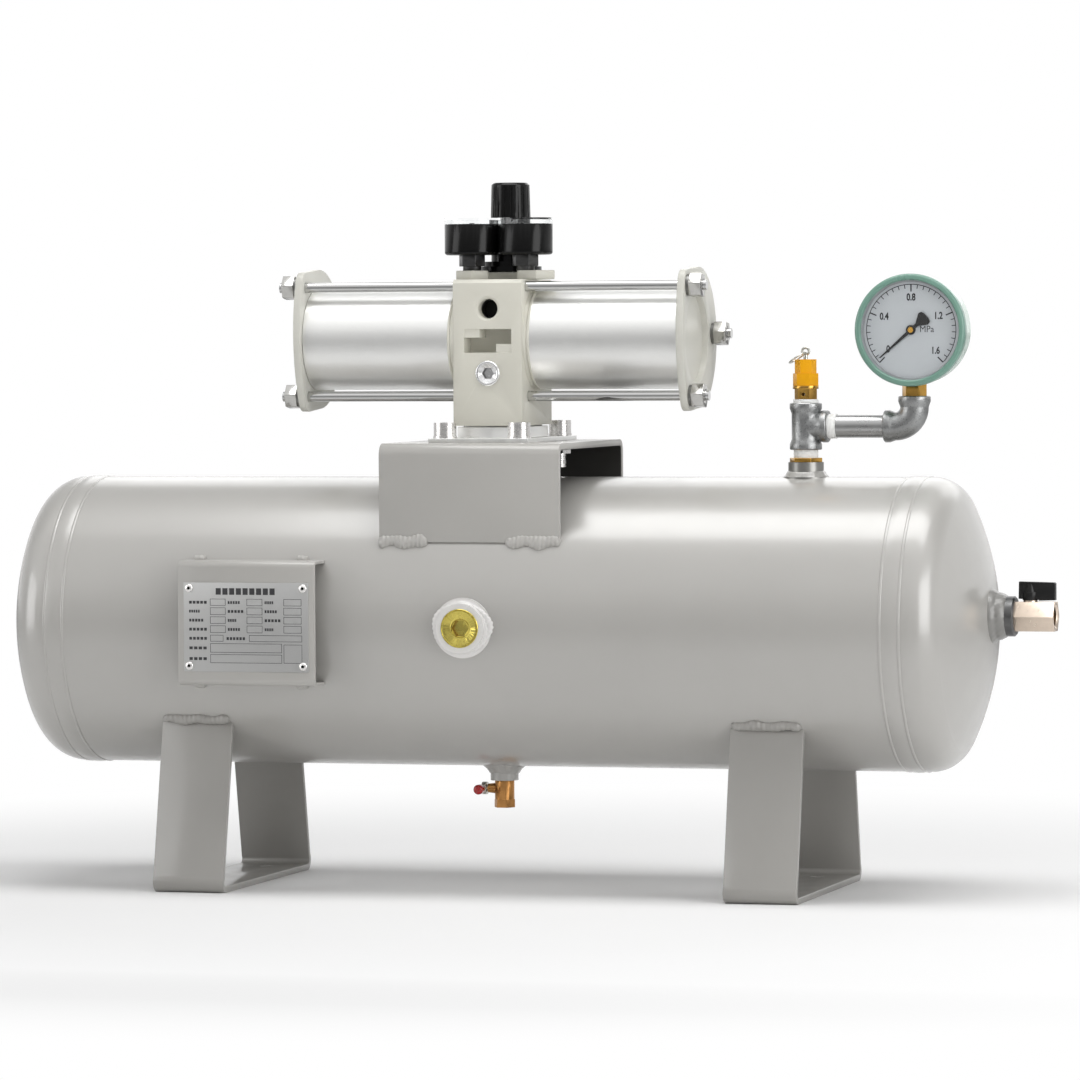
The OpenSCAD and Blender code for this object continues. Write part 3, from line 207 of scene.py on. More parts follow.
castZinc = metalFinish("castZinc", (150, 151, 151), rough=0.32, grain=0.5, scale=900,
                       distance=0.0005, tone=0.12)
pipeZinc = metalFinish("pipeZinc", (172, 172, 172), rough=0.28, grain=0.0, scale=70, tone=0.03)
# painted shade: the tank's grey darkened for the outlet's weld flare
weldShadeGrey = paintFinish("weldShadeGrey", (122, 121, 118), rough=0.38, peel=0.03, coat=0.5, cloud=0.02,
                       gloss=1.6, coatRough=0.2)
socketSteel = metalFinish("socketSteel", (150, 149, 146), rough=0.36, grain=0.04, scale=300,
                          stretch=(1, 1, 10), tone=0.05)
screwZinc = metalFinish("screwZinc", (232, 230, 228), rough=0.28, grain=0.03, scale=300, tone=0.03)
plugChrome = metalFinish("plugChrome", (222, 222, 222), rough=0.24, grain=0.02, scale=300, tone=0.03)
# a real dark steel on the outlet collar; painted shade where it lines the inlet's deep threads and the plug's hexagon
# socket
darkSteelAndShade = metalFinish("darkSteelAndShade", (104, 104, 104), rough=0.36, grain=0.04, scale=300)
# painted shade: brass darkened for the outlet's bore threads, standing in for the shade inside the bore
boreBrassShade = metalFinish("boreBrassShade", (74, 52, 26), rough=0.4, grain=0.05, scale=300)
# painted shade: brass darkened to line the front plug's hexagon socket
wellBrassShade = metalFinish("wellBrassShade", (150, 108, 30), rough=0.3, grain=0.05, scale=300)
# painted shade: near-black for the inlet's floor and the rivets' holes
boreShade = plasticFinish("boreShade", (20, 20, 19), rough=0.5, sheen=0.2)
# painted shade: a dark grey for the sheet inside the bracket, standing in for the shade there
paintedShadeInside = paintFinish("paintedShadeInside", (60, 59, 57), rough=0.6, peel=0.04, sheen=0.2)
sealTape = plasticFinish("sealTape", (238, 238, 236), rough=0.6, grain=0.3)
blackGloss = plasticFinish("blackGloss", (10, 10, 10), rough=0.2, grain=0.02, sheen=0.22)
handleBlack = plasticFinish("handleBlack", (15, 15, 15), rough=0.34, sheen=0.35)
gripRed = plasticFinish("gripRed", (156, 20, 18), rough=0.2, coat=0.4)
clearGlass = glassFinish("clearGlass", (1, 1, 1, 1), index=1.1)
clearLens = glassFinish("clearLens", (0.97, 0.98, 0.98, 1), index=1.3)

nodeFinish = {
    tankPaint: ["tank_shell", "tank_head_left", "tank_head_right", "girth_welds", "drain_socket", "outlet_socket"],
    bracketPaint: ["booster_bracket", "nameplate_holder"],
    legShadePaint: ["leg_left", "leg_right"],
    socketPaint: ["front_socket"],
    socketSteel: ["top_socket"],
    plateAluminium: ["nameplate", "nameplate_rivets"],
    plugBrass: ["front_plug"],
    yellowBrass: ["hex_nipple", "safety_body", "gauge_stem", "bourdon_tube"],
    castZinc: ["pipe_tee", "pipe_elbow"],
    pipeZinc: ["pipe_nipple"],
    sealTape: ["thread_tape"],
    capPaint: ["safety_cap"],
    steelWire: ["safety_stem", "pull_ring", "drain_lever"],
    casePaint: ["gauge_case"],
    bezelPaint: ["gauge_bezel"],
    dialPaint: ["gauge_dial", "small_dials"],
    clearGlass: ["gauge_glass"],
    clearLens: ["small_lenses"],
    pointerBlack: ["gauge_pointer", "small_pointer_left", "small_pointer_right"],
    nickelBrass: ["valve_body"],
    rodChrome: ["valve_ball", "tie_rods", "piston_rod"],
    handleBlack: ["valve_handle"],
    drainBronze: ["drain_body"],
    gripRed: ["drain_grip"],
    boosterPaint: ["booster_block", "regulator_base"],
    coverPaint: ["cover_left", "cover_right"],
    zincSteel: ["block_plug", "rod_nuts"],
    screwZinc: ["foot_screws"],
    washerSteel: ["rod_washers"],
    footAluminium: ["booster_foot", "pistons"],
    tubeAluminium: ["tube_left", "tube_right"],
    blackGloss: ["regulator_bonnet", "regulator_knob", "small_cases"],
    adapterSteel: ["gauge_adapters"],
}
finishOf = {}
for finish, names in nodeFinish.items():
    for name in names:
        finishOf[name] = finish
        mesh = nodes[name].data
        mesh.materials.clear()
        mesh.materials.append(finish)
print("finishes on", len(finishOf), "nodes")


# surfaces

def gridFaces(rows, cols, closeRows=False, closeCols=False):
    # quads of a rows x cols grid of points, wrapped where a direction closes
    i, j = np.meshgrid(np.arange(rows if closeRows else rows - 1),
                       np.arange(cols if closeCols else cols - 1), indexing="ij")
    nextI, nextJ = (i + 1) % rows, (j + 1) % cols
    quads = np.stack([i * cols + j, i * cols + nextJ, nextI * cols + nextJ, nextI * cols + j], -1)
    return quads.reshape(-1, 4).tolist()


def axisFrame(axis):
    # the axis and two directions square to it
    a = np.array(axis, float)
    a /= np.linalg.norm(a)
    e1 = np.cross([0, 0, 1.0] if abs(a[2]) < 0.9 else [1.0, 0, 0], a)
    e1 /= np.linalg.norm(e1)
    return a, e1, np.cross(a, e1)


axisGap = 0.01  # radius of a row that closes on the axis, in millimetres


def revolve(profile, place, axis, sides=96, wobble=None):
    # ring: point (radius + wobble, height) of the profile carried round the axis through place
    a, e1, e2 = axisFrame(axis)
    profile = np.array(profile, float)
    angle = np.arange(sides) * tau / sides
    r = profile[:, :1] + 0 * angle
    h = profile[:, 1:2] + 0 * angle
    if wobble is not None:
        r = r + wobble(angle[None, :], profile[:, :1], profile[:, 1:2])
    points = np.array(place, float) + h[..., None] * a
    points = points + r[..., None] * (np.cos(angle)[:, None] * e1 + np.sin(angle)[:, None] * e2)
    return points.reshape(-1, 3), gridFaces(len(profile), sides, True, True)


# ripples along a weld: size, wavelength in pitches, shift with the seed; drift wanders across the run
beadRipple = {"waves": [(0.05, 1.0, 1.0), (0.1, 4.7, 2.3), (0.07, 9.1, 5.1)], "drift": (0.1, 6.3, 3.7),
              "endPower": 10, "endSize": 0.02, "fineness": 10, "fewest": 24}


def bead(start, end, out, weld, seed, sides=16):
    # weld bead: an ellipse carried from start to end, its size rippled along the run, its ends drawn in
    width, height, pitch = weld["width"], weld["height"], weld["pitch"]
    start, end, out = (np.array(v, float) for v in (start, end, out))
    run = end - start
    length = np.linalg.norm(run)
    along = run / length
    out = out / np.linalg.norm(out)
    across = np.cross(along, out)
    count = max(beadRipple["fewest"], int(length / pitch * beadRipple["fineness"]))
    u = np.linspace(0, 1, count)
    s = u * length
    wave = sum(size * np.sin(tau * s / (pitch * times) + seed * shift) for size, times, shift in beadRipple["waves"])
    ends = np.sqrt(np.clip(1 - np.abs(2 * u - 1) ** beadRipple["endPower"], 0, 1)) + beadRipple["endSize"]
    size = (1 + wave) * ends
    wander, times, shift = beadRipple["drift"]
    drift = wander * width * np.sin(tau * s / (pitch * times) + seed * shift) * ends
    middle = start + u[:, None] * run + drift[:, None] * across
    v = np.arange(sides) * tau / sides
    ring = size[:, None, None] * (width / 2 * np.cos(v)[None, :, None] * across
                                  + height * np.sin(v)[None, :, None] * out)
    points = middle[:, None, :] + ring
    faces = gridFaces(count, sides, False, True)
    faces.append(list(range(sides)))
    faces.append([(count - 1) * sides + k for k in range(sides)])
    return points.reshape(-1, 3), faces


def joined(parts):
    # several point and face sets as one
    points, faces, start = [], [], 0
    for p, f in parts:
        points.append(np.asarray(p, float))
        faces += [[k + start for k in face] for face in f]
        start += len(p)
    return np.concatenate(points), faces


mergeGap = 2e-6  # points closer than this, in metres, are one


def smoothFaces(mesh):
    # every face shaded smooth
    mesh.polygons.foreach_set("use_smooth", np.ones(len(mesh.polygons), bool))


def meshOf(name, part):
    # points in millimetres and faces as a mesh in metres, at the origin
    points, faces = part
    mesh = bpy.data.meshes.new(name)
    mesh.from_pydata((np.asarray(points) * mm).tolist(), [], faces)
    return mesh


def ridingPiece(name, mesh, finish, body):
    # the mesh as a piece of the scene that moves with a body
    mesh.materials.append(finish)
    piece = bpy.data.objects.new(name, mesh)
    bpy.context.scene.collection.objects.link(piece)
    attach(piece, body)
    return piece


def addPiece(name, part, finish, body="frame", smoothAngle=40, replaces=()):
    # a closed surface: doubles merged, faces turned outwards, edges past smoothAngle kept sharp
    mesh = meshOf(name, part)
    bm = bmesh.new()
    bm.from_mesh(mesh)
    bmesh.ops.remove_doubles(bm, verts=bm.verts, dist=mergeGap)
    bmesh.ops.recalc_face_normals(bm, faces=bm.faces)
    bm.to_mesh(mesh)
    bm.free()
    smoothFaces(mesh)
    mesh.set_sharp_from_angle(angle=math.radians(smoothAngle))
    piece = ridingPiece(name, mesh, finish, body)
    if replaces:
        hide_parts(*replaces)


def addPrint(name, part, finish, thick=0.05):
    # flat print: quads or letters given a little thickness, in millimetres
    piece = ridingPiece(name, meshOf(name, part), finish, "frame")
    wall = piece.modifiers.new("ink", "SOLIDIFY")
    wall.thickness = thick * mm
    wall.offset = 1


def softEdges(name, width, segments=2, angle=35, flat=0.6):
    # a copy of a CAD node with flat triangles joined and a small round on each sharp edge
    bm = bmesh.new()
    bm.from_mesh(nodes[name].data)
    bmesh.ops.remove_doubles(bm, verts=bm.verts, dist=mergeGap)
    bmesh.ops.dissolve_limit(bm, angle_limit=math.radians(flat), verts=bm.verts, edges=bm.edges)
    mesh = bpy.data.meshes.new(name + "Soft")
    bm.to_mesh(mesh)
    bm.free()
    smoothFaces(mesh)
    piece = ridingPiece(name + "Soft", mesh, finishOf[name], bodyOf[name])
    bevel = piece.modifiers.new("edges", "BEVEL")
    bevel.width = width * mm
    bevel.segments = segments
    bevel.limit_method = "ANGLE"
    bevel.angle_limit = math.radians(angle)
    bevel.harden_normals = True
    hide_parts(name)


# small rounds, in millimetres, on the edges that catch the light
edgeRounds = {
    "booster_block": 0.9, "cover_left": 0.8, "cover_right": 0.8, "regulator_base": 0.7, "booster_bracket": 0.8,
    "leg_left": 0.8, "leg_right": 0.8, "nameplate_holder": 0.5, "booster_foot": 0.6, "valve_handle": 0.9,
    "valve_body": 0.5, "safety_cap": 0.6, "safety_body": 0.4, "gauge_stem": 0.4, "hex_nipple": 0.4,
    "rod_nuts": 0.5, "regulator_knob": 0.35, "gauge_adapters": 0.5, "front_plug": 0.35, "drain_body": 0.4,
    "nameplate": 0.15, "pipe_tee": 0.6, "pipe_elbow": 0.6, "small_cases": 0.5,
}
for nodeName, roundWidth in edgeRounds.items():
    softEdges(nodeName, roundWidth)
print("edge rounds on", len(edgeRounds), "nodes")

# welds
tankLow, tankHigh = boxMm("tank_shell")
tankAxis = midMm("tank_shell")[2]
tankRadius = (tankHigh[2] - tankLow[2]) / 2


def tankFront(z):
    # distance of the tank's surface from its axis plane at a height
    return math.sqrt(tankRadius ** 2 - (z - tankAxis) ** 2)


bracketWeld = {"length": (47, 52), "width": 13, "height": 4.5, "pitch": 4.2, "inset": 1.5, "lean": 30, "past": 1,
               "seeds": (0.4, 2.1), "seedStep": 1.3}
bracketLow, bracketHigh = boxMm("booster_bracket")
parts = []
for side, seed in zip((-1, 1), bracketWeld["seeds"]):
    y = side * (bracketHigh[1] - bracketWeld["inset"])
    z = tankAxis + math.sqrt(tankRadius ** 2 - y ** 2) + bracketWeld["inset"]
    out = (0, y, z - tankAxis - bracketWeld["lean"])
    for start, end in ((bracketLow[0] - bracketWeld["past"], bracketLow[0] + bracketWeld["length"][0]),
                       (bracketHigh[0] - bracketWeld["length"][1], bracketHigh[0] + bracketWeld["past"])):
        parts.append(bead((start, y, z), (end, y, z), out, bracketWeld, seed))
        seed += bracketWeld["seedStep"]
addPiece("bracketWelds", joined(parts), bracketPaint)

legWeld = {"width": 10, "height": 4.2, "pitch": 4.6, "top": 161.5, "proud": 0.3, "lean": 20, "inset": 1.5,
           "seeds": (0.9, 3.3), "seedStep": 1.7}
parts = []
for leg, seed in zip(("leg_left", "leg_right"), legWeld["seeds"]):
    low, high = boxMm(leg)
    for side in (-1, 1):
        y = side * (tankFront(legWeld["top"]) + legWeld["proud"])
        out = (0, y, legWeld["top"] - tankAxis - legWeld["lean"])
        start, end = low[0] + legWeld["inset"], high[0] - legWeld["inset"]
        parts.append(bead((start, y, legWeld["top"]), (end, y, legWeld["top"]), out, legWeld, seed))
        seed += legWeld["seedStep"]
addPiece("legWelds", joined(parts), legShadePaint)

holderWeld = {"length": 11, "width": 8, "height": 4, "pitch": 5, "inset": (6, 16), "proud": 1, "forward": -0.7,
              "seeds": (0.3, 1.9), "seedStep": 1.1}
low, high = boxMm("nameplate_holder")
parts = []
for z, side, seed in zip((high[2], low[2]), (1, -1), holderWeld["seeds"]):
    y = -tankFront(z) - holderWeld["proud"]
    for start in (low[0] + holderWeld["inset"][0], high[0] - holderWeld["inset"][1] - holderWeld["length"]):
        parts.append(bead((start, y, z), (start + holderWeld["length"], y, z), (0, holderWeld["forward"], side),
                          holderWeld, seed))
        seed += holderWeld["seedStep"]
addPiece("holderWelds", joined(parts), bracketPaint)


def socketWeld(middle, axis, radius, thick, seed, ripple, squash=0.7, rows=14):
    # lumpy ring: a round bead carried round a socket's foot, its size rippled with the angle
    v = np.arange(rows) * tau / rows
    profile = np.stack([radius + thick * np.cos(v), squash * thick * np.sin(v)], 1)

    def lumps(angle, r, h):
        # quick ripples and slow lumps in the bead's thickness, and a slow drift of its radius
        wave = 0.1 * np.sin(ripple * angle + seed) + 0.13 * np.sin(5 * angle + seed * 2)
        return (r - radius) * wave + thick * 0.18 * np.sin(3 * angle + seed)
    return revolve(profile, middle, axis, sides=180, wobble=lumps)


frontMid = midMm("front_socket")[[0, 2]]
# two rings, one on the other: place from the tank, radius, thickness, seed and ripples round
frontWeld = {"rings": [(1.2, 25.0, 4.2, 0.6, 34), (3.8, 22.6, 2.6, 2.2, 29)], "flat": 0.82}
weldPoints, weldFaces = joined([
    socketWeld((frontMid[0], -tankRadius - proud, frontMid[1]), (0, -1, 0), radius, thick, seed, ripple)
    for proud, radius, thick, seed, ripple in frontWeld["rings"]])
weldPoints[:, 2] = frontMid[1] + frontWeld["flat"] * (weldPoints[:, 2] - frontMid[1])
addPiece("frontWeld", (weldPoints, weldFaces), socketPaint)
outletMid = midMm("outlet_socket")[1:]
outHigh = boxMm("outlet_socket")[1]
headHigh = boxMm("tank_head_right")[1]
outletWeld = {"rows": [(25.3, -2.4), (25.1, -0.6), (24.5, 1.4), (23.4, 3.0), (22.3, 4.1), (21.8, 5.2), (21.7, 6.4),
                       (21.4, 8.2), (20.7, 10.0), (19.9, 11.6), (19.1, 12.7), (18.5, 13.1), (17.9, 13.1),
                       (17.9, -2.4)], "lumps": 0.25}
outletCollar = {"radius": 18.62, "start": 12.6, "past": 4.2, "bevel": (1.6, 1.4), "wall": 5.6, "mouth": 3.6,
                "foot": 0.9}


def outletLumps(angle, r, h):
    # slow and quick ripples round the part of the flare that stands outside the collar
    wave = np.sin(4 * angle + 0.7 + 0.3 * h) + 0.6 * np.sin(23 * angle + 0.9 * h)
    return np.where(r > outletCollar["radius"], outletWeld["lumps"] * wave, 0)


outletFoot = (headHigh[0], *outletMid)
addPiece("outletWeld", revolve(outletWeld["rows"], outletFoot, (1, 0, 0), sides=150, wobble=outletLumps), weldShadeGrey)
collarEnd = outHigh[0] - headHigh[0] + outletCollar["past"]
collarOut, collarIn = outletCollar["radius"], outletCollar["radius"] - outletCollar["wall"]
bevelIn, bevelBack = outletCollar["bevel"]
collarRows = [(collarOut, outletCollar["start"]), (collarOut, collarEnd - bevelBack),
              (collarOut - bevelIn, collarEnd), (collarIn, collarEnd), (collarIn, collarEnd - outletCollar["mouth"]),
              (collarOut - outletCollar["foot"], outletCollar["start"])]
addPiece("outletCollar", revolve(collarRows, outletFoot, (1, 0, 0)), darkSteelAndShade, smoothAngle=30)

topWeld = {"rows": [(21.0, -1.2), (20.8, 0.5), (19.8, 1.5), (18.9, 2.7), (18.1, 4.2), (17.5, 5.2), (16.9, 5.6),
                    (16.2, 5.6), (16.2, -1.2)], "lumps": 0.012}


def saddleFlare(x, rows, lumps, side=1, sides=120):
    # ring: each (radius, height) row stands on the tank's curved top or hangs from its bottom, rippled with the angle
    rows = np.array(rows, float)
    angle = np.arange(sides) * tau / sides
    r = rows[:, :1] * (1 + lumps * np.sin(5 * angle + 0.4) + lumps * 0.6 * np.sin(19 * angle))
    y = r * np.sin(angle)
    z = tankAxis + side * (np.sqrt(tankRadius ** 2 - y ** 2) + rows[:, 1:2])
    return np.stack([x + r * np.cos(angle), y, z], -1).reshape(-1, 3), gridFaces(len(rows), sides, True, True)


topX = midMm("top_socket")[0]
addPiece("topWeld", saddleFlare(topX, topWeld["rows"], topWeld["lumps"]), tankPaint)

drainWeld = {"rows": [(20.4, -1.2), (20.0, 0.4), (18.4, 1.6), (16.8, 3.0), (15.4, 4.8), (14.2, 6.8), (13.4, 7.2),
                      (12.6, 7.2), (12.6, -1.2)], "lumps": 0.012}
addPiece("drainWeld", saddleFlare(midMm("drain_socket")[0], drainWeld["rows"], drainWeld["lumps"], side=-1),
         tankPaint)

girthSeam = {"half": 1.5, "rise": 0.75, "ripple": 0.12, "rows": 12}
girthLow, girthHigh = boxMm("girth_welds")
v = np.arange(girthSeam["rows"]) * tau / girthSeam["rows"]
seamRows = np.stack([tankRadius + girthSeam["rise"] * np.sin(v), girthSeam["half"] * np.cos(v)], 1)


def seamRipple(angle, r, h):
    # two quick waves round the tank, the same at every row
    return girthSeam["ripple"] * (np.sin(31 * angle) + np.sin(47 * angle + 1.3)) / 2 + 0 * r


addPiece("girthSeams", joined([revolve(seamRows, (x, 0, tankAxis), (1, 0, 0), sides=360, wobble=seamRipple)
                               for x in (girthLow[0], tankLow[0], tankHigh[0], girthHigh[0])]),
         tankPaint)
print("welds: done")

# gauge dial: print on the face, hub and ring
dialMid = midMm("gauge_dial")[[0, 2]]
dialFace = boxMm("gauge_dial")[0][1]


def flatArc(inner, outer, first, last, place, steps=120):
    # flat ring strip between two radii and two angles; place turns flat (x, y) into a point of the part
    angle = np.linspace(first, last, steps)
    rings = [place(radius * np.cos(angle), radius * np.sin(angle)) for radius in (inner, outer)]
    return np.concatenate(rings), gridFaces(2, steps)


def flatTick(inner, outer, angle, half, place):
    # flat bar of a half width from one radius to another
    c, s = math.cos(angle), math.sin(angle)
    r = np.array([inner, outer, outer, inner])
    w = np.array([-half, -half, half, half])
    return place(r * c - w * s, r * s + w * c), [[0, 1, 2, 3]]


def lettering(words, height, middle, place, narrow=1.0, bold=0.0):
    # words as flat faces, their middle on a spot
    curve = bpy.data.curves.new(words, "FONT")
    curve.body = words
    curve.align_x = "CENTER"
    curve.align_y = "CENTER"
    curve.size = 1
    curve.offset = bold
    temp = bpy.data.objects.new(words, curve)
    flat = bpy.data.meshes.new_from_object(temp)
    co = np.empty(len(flat.vertices) * 3)
    flat.vertices.foreach_get("co", co)
    co = co.reshape(-1, 3)
    faces = [list(p.vertices) for p in flat.polygons]
    bpy.data.objects.remove(temp)
    bpy.data.curves.remove(curve)
    bpy.data.meshes.remove(flat)
    span = co[:, 1].max() - co[:, 1].min()
    mid = (co.max(0) + co.min(0)) / 2
    co = (co - mid) * height / span
    co[:, 0] *= narrow
    return place(co[:, 0] + middle[0], co[:, 1] + middle[1]), faces


dialPrint = {"circle": 42.2, "minor": 38.4, "major": 35.4, "steps": 32, "stepsPerMajor": 8, "arc": (0.4, 0.3),
             "half": (0.6, 0.375), "first": math.radians(225), "sweep": math.radians(270), "above": 0.06,
             "size": 6.9, "narrow": 0.76, "bold": 0.032, "unit": (15.0, 0.8), "unitSize": 5.9, "unitNarrow": 0.94}
dialNumbers = {"0": (-21.8, -17.4), "0.4": (-25.4, 12.8), "0.8": (0.0, 30.4), "1.2": (26.2, 13.2),
               "1.6": (23.4, -18.8)}
inkY = dialFace - dialPrint["above"]


def dialPoint(x, z):
    # flat (x, z) from the dial's middle to a point on its front
    return np.stack([dialMid[0] + x, 0 * x + inkY, dialMid[1] + z], 1)


arcEnd = dialPrint["first"] - dialPrint["sweep"]
parts = [flatArc(dialPrint["circle"] - dialPrint["arc"][0], dialPrint["circle"] + dialPrint["arc"][1], arcEnd,
                 dialPrint["first"], dialPoint)]
for step in range(dialPrint["steps"] + 1):
    angle = dialPrint["first"] - dialPrint["sweep"] * step / dialPrint["steps"]
    long = step % dialPrint["stepsPerMajor"] == 0
    inner = dialPrint["major"] if long else dialPrint["minor"]
    parts.append(flatTick(inner, dialPrint["circle"], angle, dialPrint["half"][0 if long else 1], dialPoint))
for words, spot in dialNumbers.items():
    parts.append(lettering(words, dialPrint["size"], spot, dialPoint, dialPrint["narrow"], dialPrint["bold"]))
parts.append(lettering("MPa", dialPrint["unitSize"], dialPrint["unit"], dialPoint, dialPrint["unitNarrow"]))
addPrint("dialPrint", joined(parts), dialInk)

# painted shade: a darker grey on the cone between dial and bezel stands in for the bezel's shadow on the dial's edge
dialCone = {"outer": 46.6, "inner": 44.6, "front": 5.8, "wall": 0.6, "back": -0.1}
coneBack = dialCone["outer"] + dialCone["wall"]
cone = [(dialCone["inner"], dialCone["back"]), (dialCone["outer"], dialCone["front"]),
        (coneBack, dialCone["front"]), (coneBack, dialCone["back"])]
addPiece("dialCone", revolve(cone, (dialMid[0], dialFace, dialMid[1]), (0, -1, 0), sides=160), dialRingShade)

pointerHub = {"radius": 2.8, "height": 1.6, "ring": 3.9, "ringHeight": 0.9, "above": 2.0}


def stepped(radius, height):
    # half outline of a low button with a bevelled edge
    return [(axisGap, 0), (radius, 0), (radius, height * 0.7), (radius * 0.85, height), (axisGap, height)]


hubPlace = (dialMid[0], dialFace - pointerHub["above"], dialMid[1])
addPiece("pointerHub", revolve(stepped(pointerHub["radius"], pointerHub["height"]), hubPlace, (0, -1, 0), sides=48),
         yellowBrass, "pointer")
addPiece("pointerRing", revolve(stepped(pointerHub["ring"], pointerHub["ringHeight"]), hubPlace, (0, -1, 0), sides=48),
         pointerBlack, "pointer")
print("gauge dial: done")

# small gauges, seen from above: ticks and numbers on each dial
smallLow, smallHigh = boxMm("small_dials")
smallRadius = (smallHigh[1] - smallLow[1]) / 2
smallY = midMm("small_dials")[1]
smallPrint = {"outer": 20.6, "inner": 17.6, "longer": 1.6, "half": (0.45, 0.22), "steps": 40, "bold": 5, "major": 10,
              "first": 225, "sweep": 270, "numbers": 13.2, "size": 3.8, "narrow": 0.85, "words": list(dialNumbers),
              "unit": (0, -7.5), "unitSize": 2.8, "above": 0.06}
parts = []
for x in (smallLow[0] + smallRadius, smallHigh[0] - smallRadius):
    def upward(a, b, x=x):
        # flat (a, b) from a small dial's middle to a point on its top
        return np.stack([x + a, smallY + b, 0 * a + smallHigh[2] + smallPrint["above"]], 1)
    for step in range(smallPrint["steps"] + 1):
        angle = math.radians(smallPrint["first"] - smallPrint["sweep"] * step / smallPrint["steps"])
        inner = smallPrint["inner"] - (smallPrint["longer"] if step % smallPrint["major"] == 0 else 0)
        half = smallPrint["half"][0 if step % smallPrint["bold"] == 0 else 1]
        parts.append(flatTick(inner, smallPrint["outer"], angle, half, upward))
    for k, words in enumerate(smallPrint["words"]):
        angle = math.radians(smallPrint["first"] - smallPrint["sweep"] * k / (len(smallPrint["words"]) - 1))
        spot = (smallPrint["numbers"] * math.cos(angle), smallPrint["numbers"] * math.sin(angle))
        parts.append(lettering(words, smallPrint["size"], spot, upward, smallPrint["narrow"]))
    parts.append(lettering("MPa", smallPrint["unitSize"], smallPrint["unit"], upward))
addPrint("smallDialPrint", joined(parts), dialInk)
print("small dials: done")

# nameplate: a bare generic face of blank boxes and plain caption bars
plateLow, plateHigh = boxMm("nameplate")
plateSize = (plateHigh[0] - plateLow[0], plateHigh[2] - plateLow[2])
plateInkDepth = 0.04
plateFace = plateLow[1] - plateInkDepth
plateLine = 0.0032  # line width of the boxes, as a fraction of the plate's width


def platePoint(u, v):
    # fractions of the plate, from its left and from its top
    return np.stack([plateLow[0] + np.array(u) * plateSize[0], 0 * np.array(u) + plateFace,
                     plateHigh[2] - np.array(v) * plateSize[1]], 1)


def plateBar(u0, v0, u1, v1):
    # flat bar between two corners
    return platePoint([u0, u1, u1, u0], [v1, v1, v0, v0]), [[0, 1, 2, 3]]


def plateBox(u0, v0, u1, v1):
    # an empty box: four bars of the same line width
    w, h = plateLine, plateLine * plateSize[0] / plateSize[1]
    return [plateBar(u0, v0, u1, v0 + h), plateBar(u0, v1 - h, u1, v1), plateBar(u0, v0, u0 + w, v1),
            plateBar(u1 - w, v0, u1, v1)]


caption = {"rise": 0.014, "drop": 0.018, "fill": 0.72, "count": 5, "shorter": 0.03}
plateTitle = {"left": 0.26, "step": 0.054, "fill": 0.76, "count": 9, "top": 0.062, "bottom": 0.136}


def captionBars(begin, end, middle, count):
    # a row of short bars where words would be
    step = (end - begin) / count
    return [plateBar(begin + k * step, middle - caption["rise"], begin + (k + caption["fill"]) * step,
                     middle + caption["drop"]) for k in range(count)]


plateRows = [(0.182, 0.259), (0.280, 0.361), (0.382, 0.461), (0.482, 0.563)]
plateColumns = [(0.214, 0.338), (0.508, 0.633), (0.803, 0.946)]
captions = [(0.045, 0.195), (0.356, 0.488), (0.652, 0.785)]
lowBoxes = [(0.214, 0.588, 0.319, 0.661), (0.526, 0.588, 0.950, 0.661), (0.214, 0.682, 0.788, 0.784),
            (0.214, 0.805, 0.788, 0.902), (0.803, 0.691, 0.950, 0.900)]
lowCaptions = [(0.045, 0.195, 0.625, 5), (0.345, 0.500, 0.625, 6), (0.045, 0.195, 0.733, 4), (0.045, 0.195, 0.853, 4)]
parts = []
for row, (top, bottom) in enumerate(plateRows):
    for column, (left, right) in enumerate(plateColumns):
        parts += plateBox(left, top, right, bottom)
        begin, end = captions[column]
        short = caption["shorter"] * ((row * 2 + column) % 3)
        parts += captionBars(begin, end - short, (top + bottom) / 2, caption["count"])
for box in lowBoxes:
    parts += plateBox(*box)
for row in lowCaptions:
    parts += captionBars(*row)
for k in range(plateTitle["count"]):
    left, right = k * plateTitle["step"], (k + plateTitle["fill"]) * plateTitle["step"]
    parts.append(plateBar(plateTitle["left"] + left, plateTitle["top"], plateTitle["left"] + right,
                          plateTitle["bottom"]))
addPrint("plateFace", joined(parts), plateInk, plateInkDepth)

rivetLow, rivetHigh = boxMm("nameplate_rivets")
rivet = {"radius": 3.9, "height": 1.8, "lip": 0.41, "rows": 14, "floor": (1.35, 0.2), "pin": (1.275, 0.25, 0.9)}
turn = np.linspace(0.5 * math.pi, rivet["lip"], rivet["rows"])
dome = np.stack([rivet["radius"] * np.sin(turn), rivet["height"] * np.cos(turn)], 1).tolist()
dome += [rivet["floor"], (axisGap, rivet["floor"][1]), (axisGap, 0), (rivet["radius"], 0)]
pinRadius, pinFoot, pinHead = rivet["pin"]
pin = [(axisGap, pinFoot), (pinRadius, pinFoot), (pinRadius, pinHead), (axisGap, pinHead)]
rivetSpots = [(x, rivetHigh[1], z) for x in (rivetLow[0] + rivet["radius"], rivetHigh[0] - rivet["radius"])
              for z in (rivetLow[2] + rivet["radius"], rivetHigh[2] - rivet["radius"])]
addPiece("rivetDomes", joined([revolve(dome, spot, (0, -1, 0), sides=40) for spot in rivetSpots]), screwZinc,
         smoothAngle=30, replaces=("nameplate_rivets",))
# painted shade: a near-black plug in each rivet's hole stands in for the shade down the hole
addPiece("rivetHoleShade", joined([revolve(pin, spot, (0, -1, 0), sides=24) for spot in rivetSpots]), boreShade,
         smoothAngle=30)
print("nameplate: done")

# thread tape: loose wraps, each turn a little proud of the next
tapeHigh = boxMm("thread_tape")[1]
tape = {"nippleHex": 4.0, "branch": 8.0, "proud": 0.75, "top": 11.75, "outlet": 13.6, "outletGap": 0.1, "wall": 1.0,
        "rows": 14, "turn": 0.16, "pitch": 1.7, "crease": 0.12}


def heightRows(radius, length, count):
    # rows of one radius, evenly up a height
    return np.column_stack([np.full(count, float(radius)), np.linspace(0, length, count)])


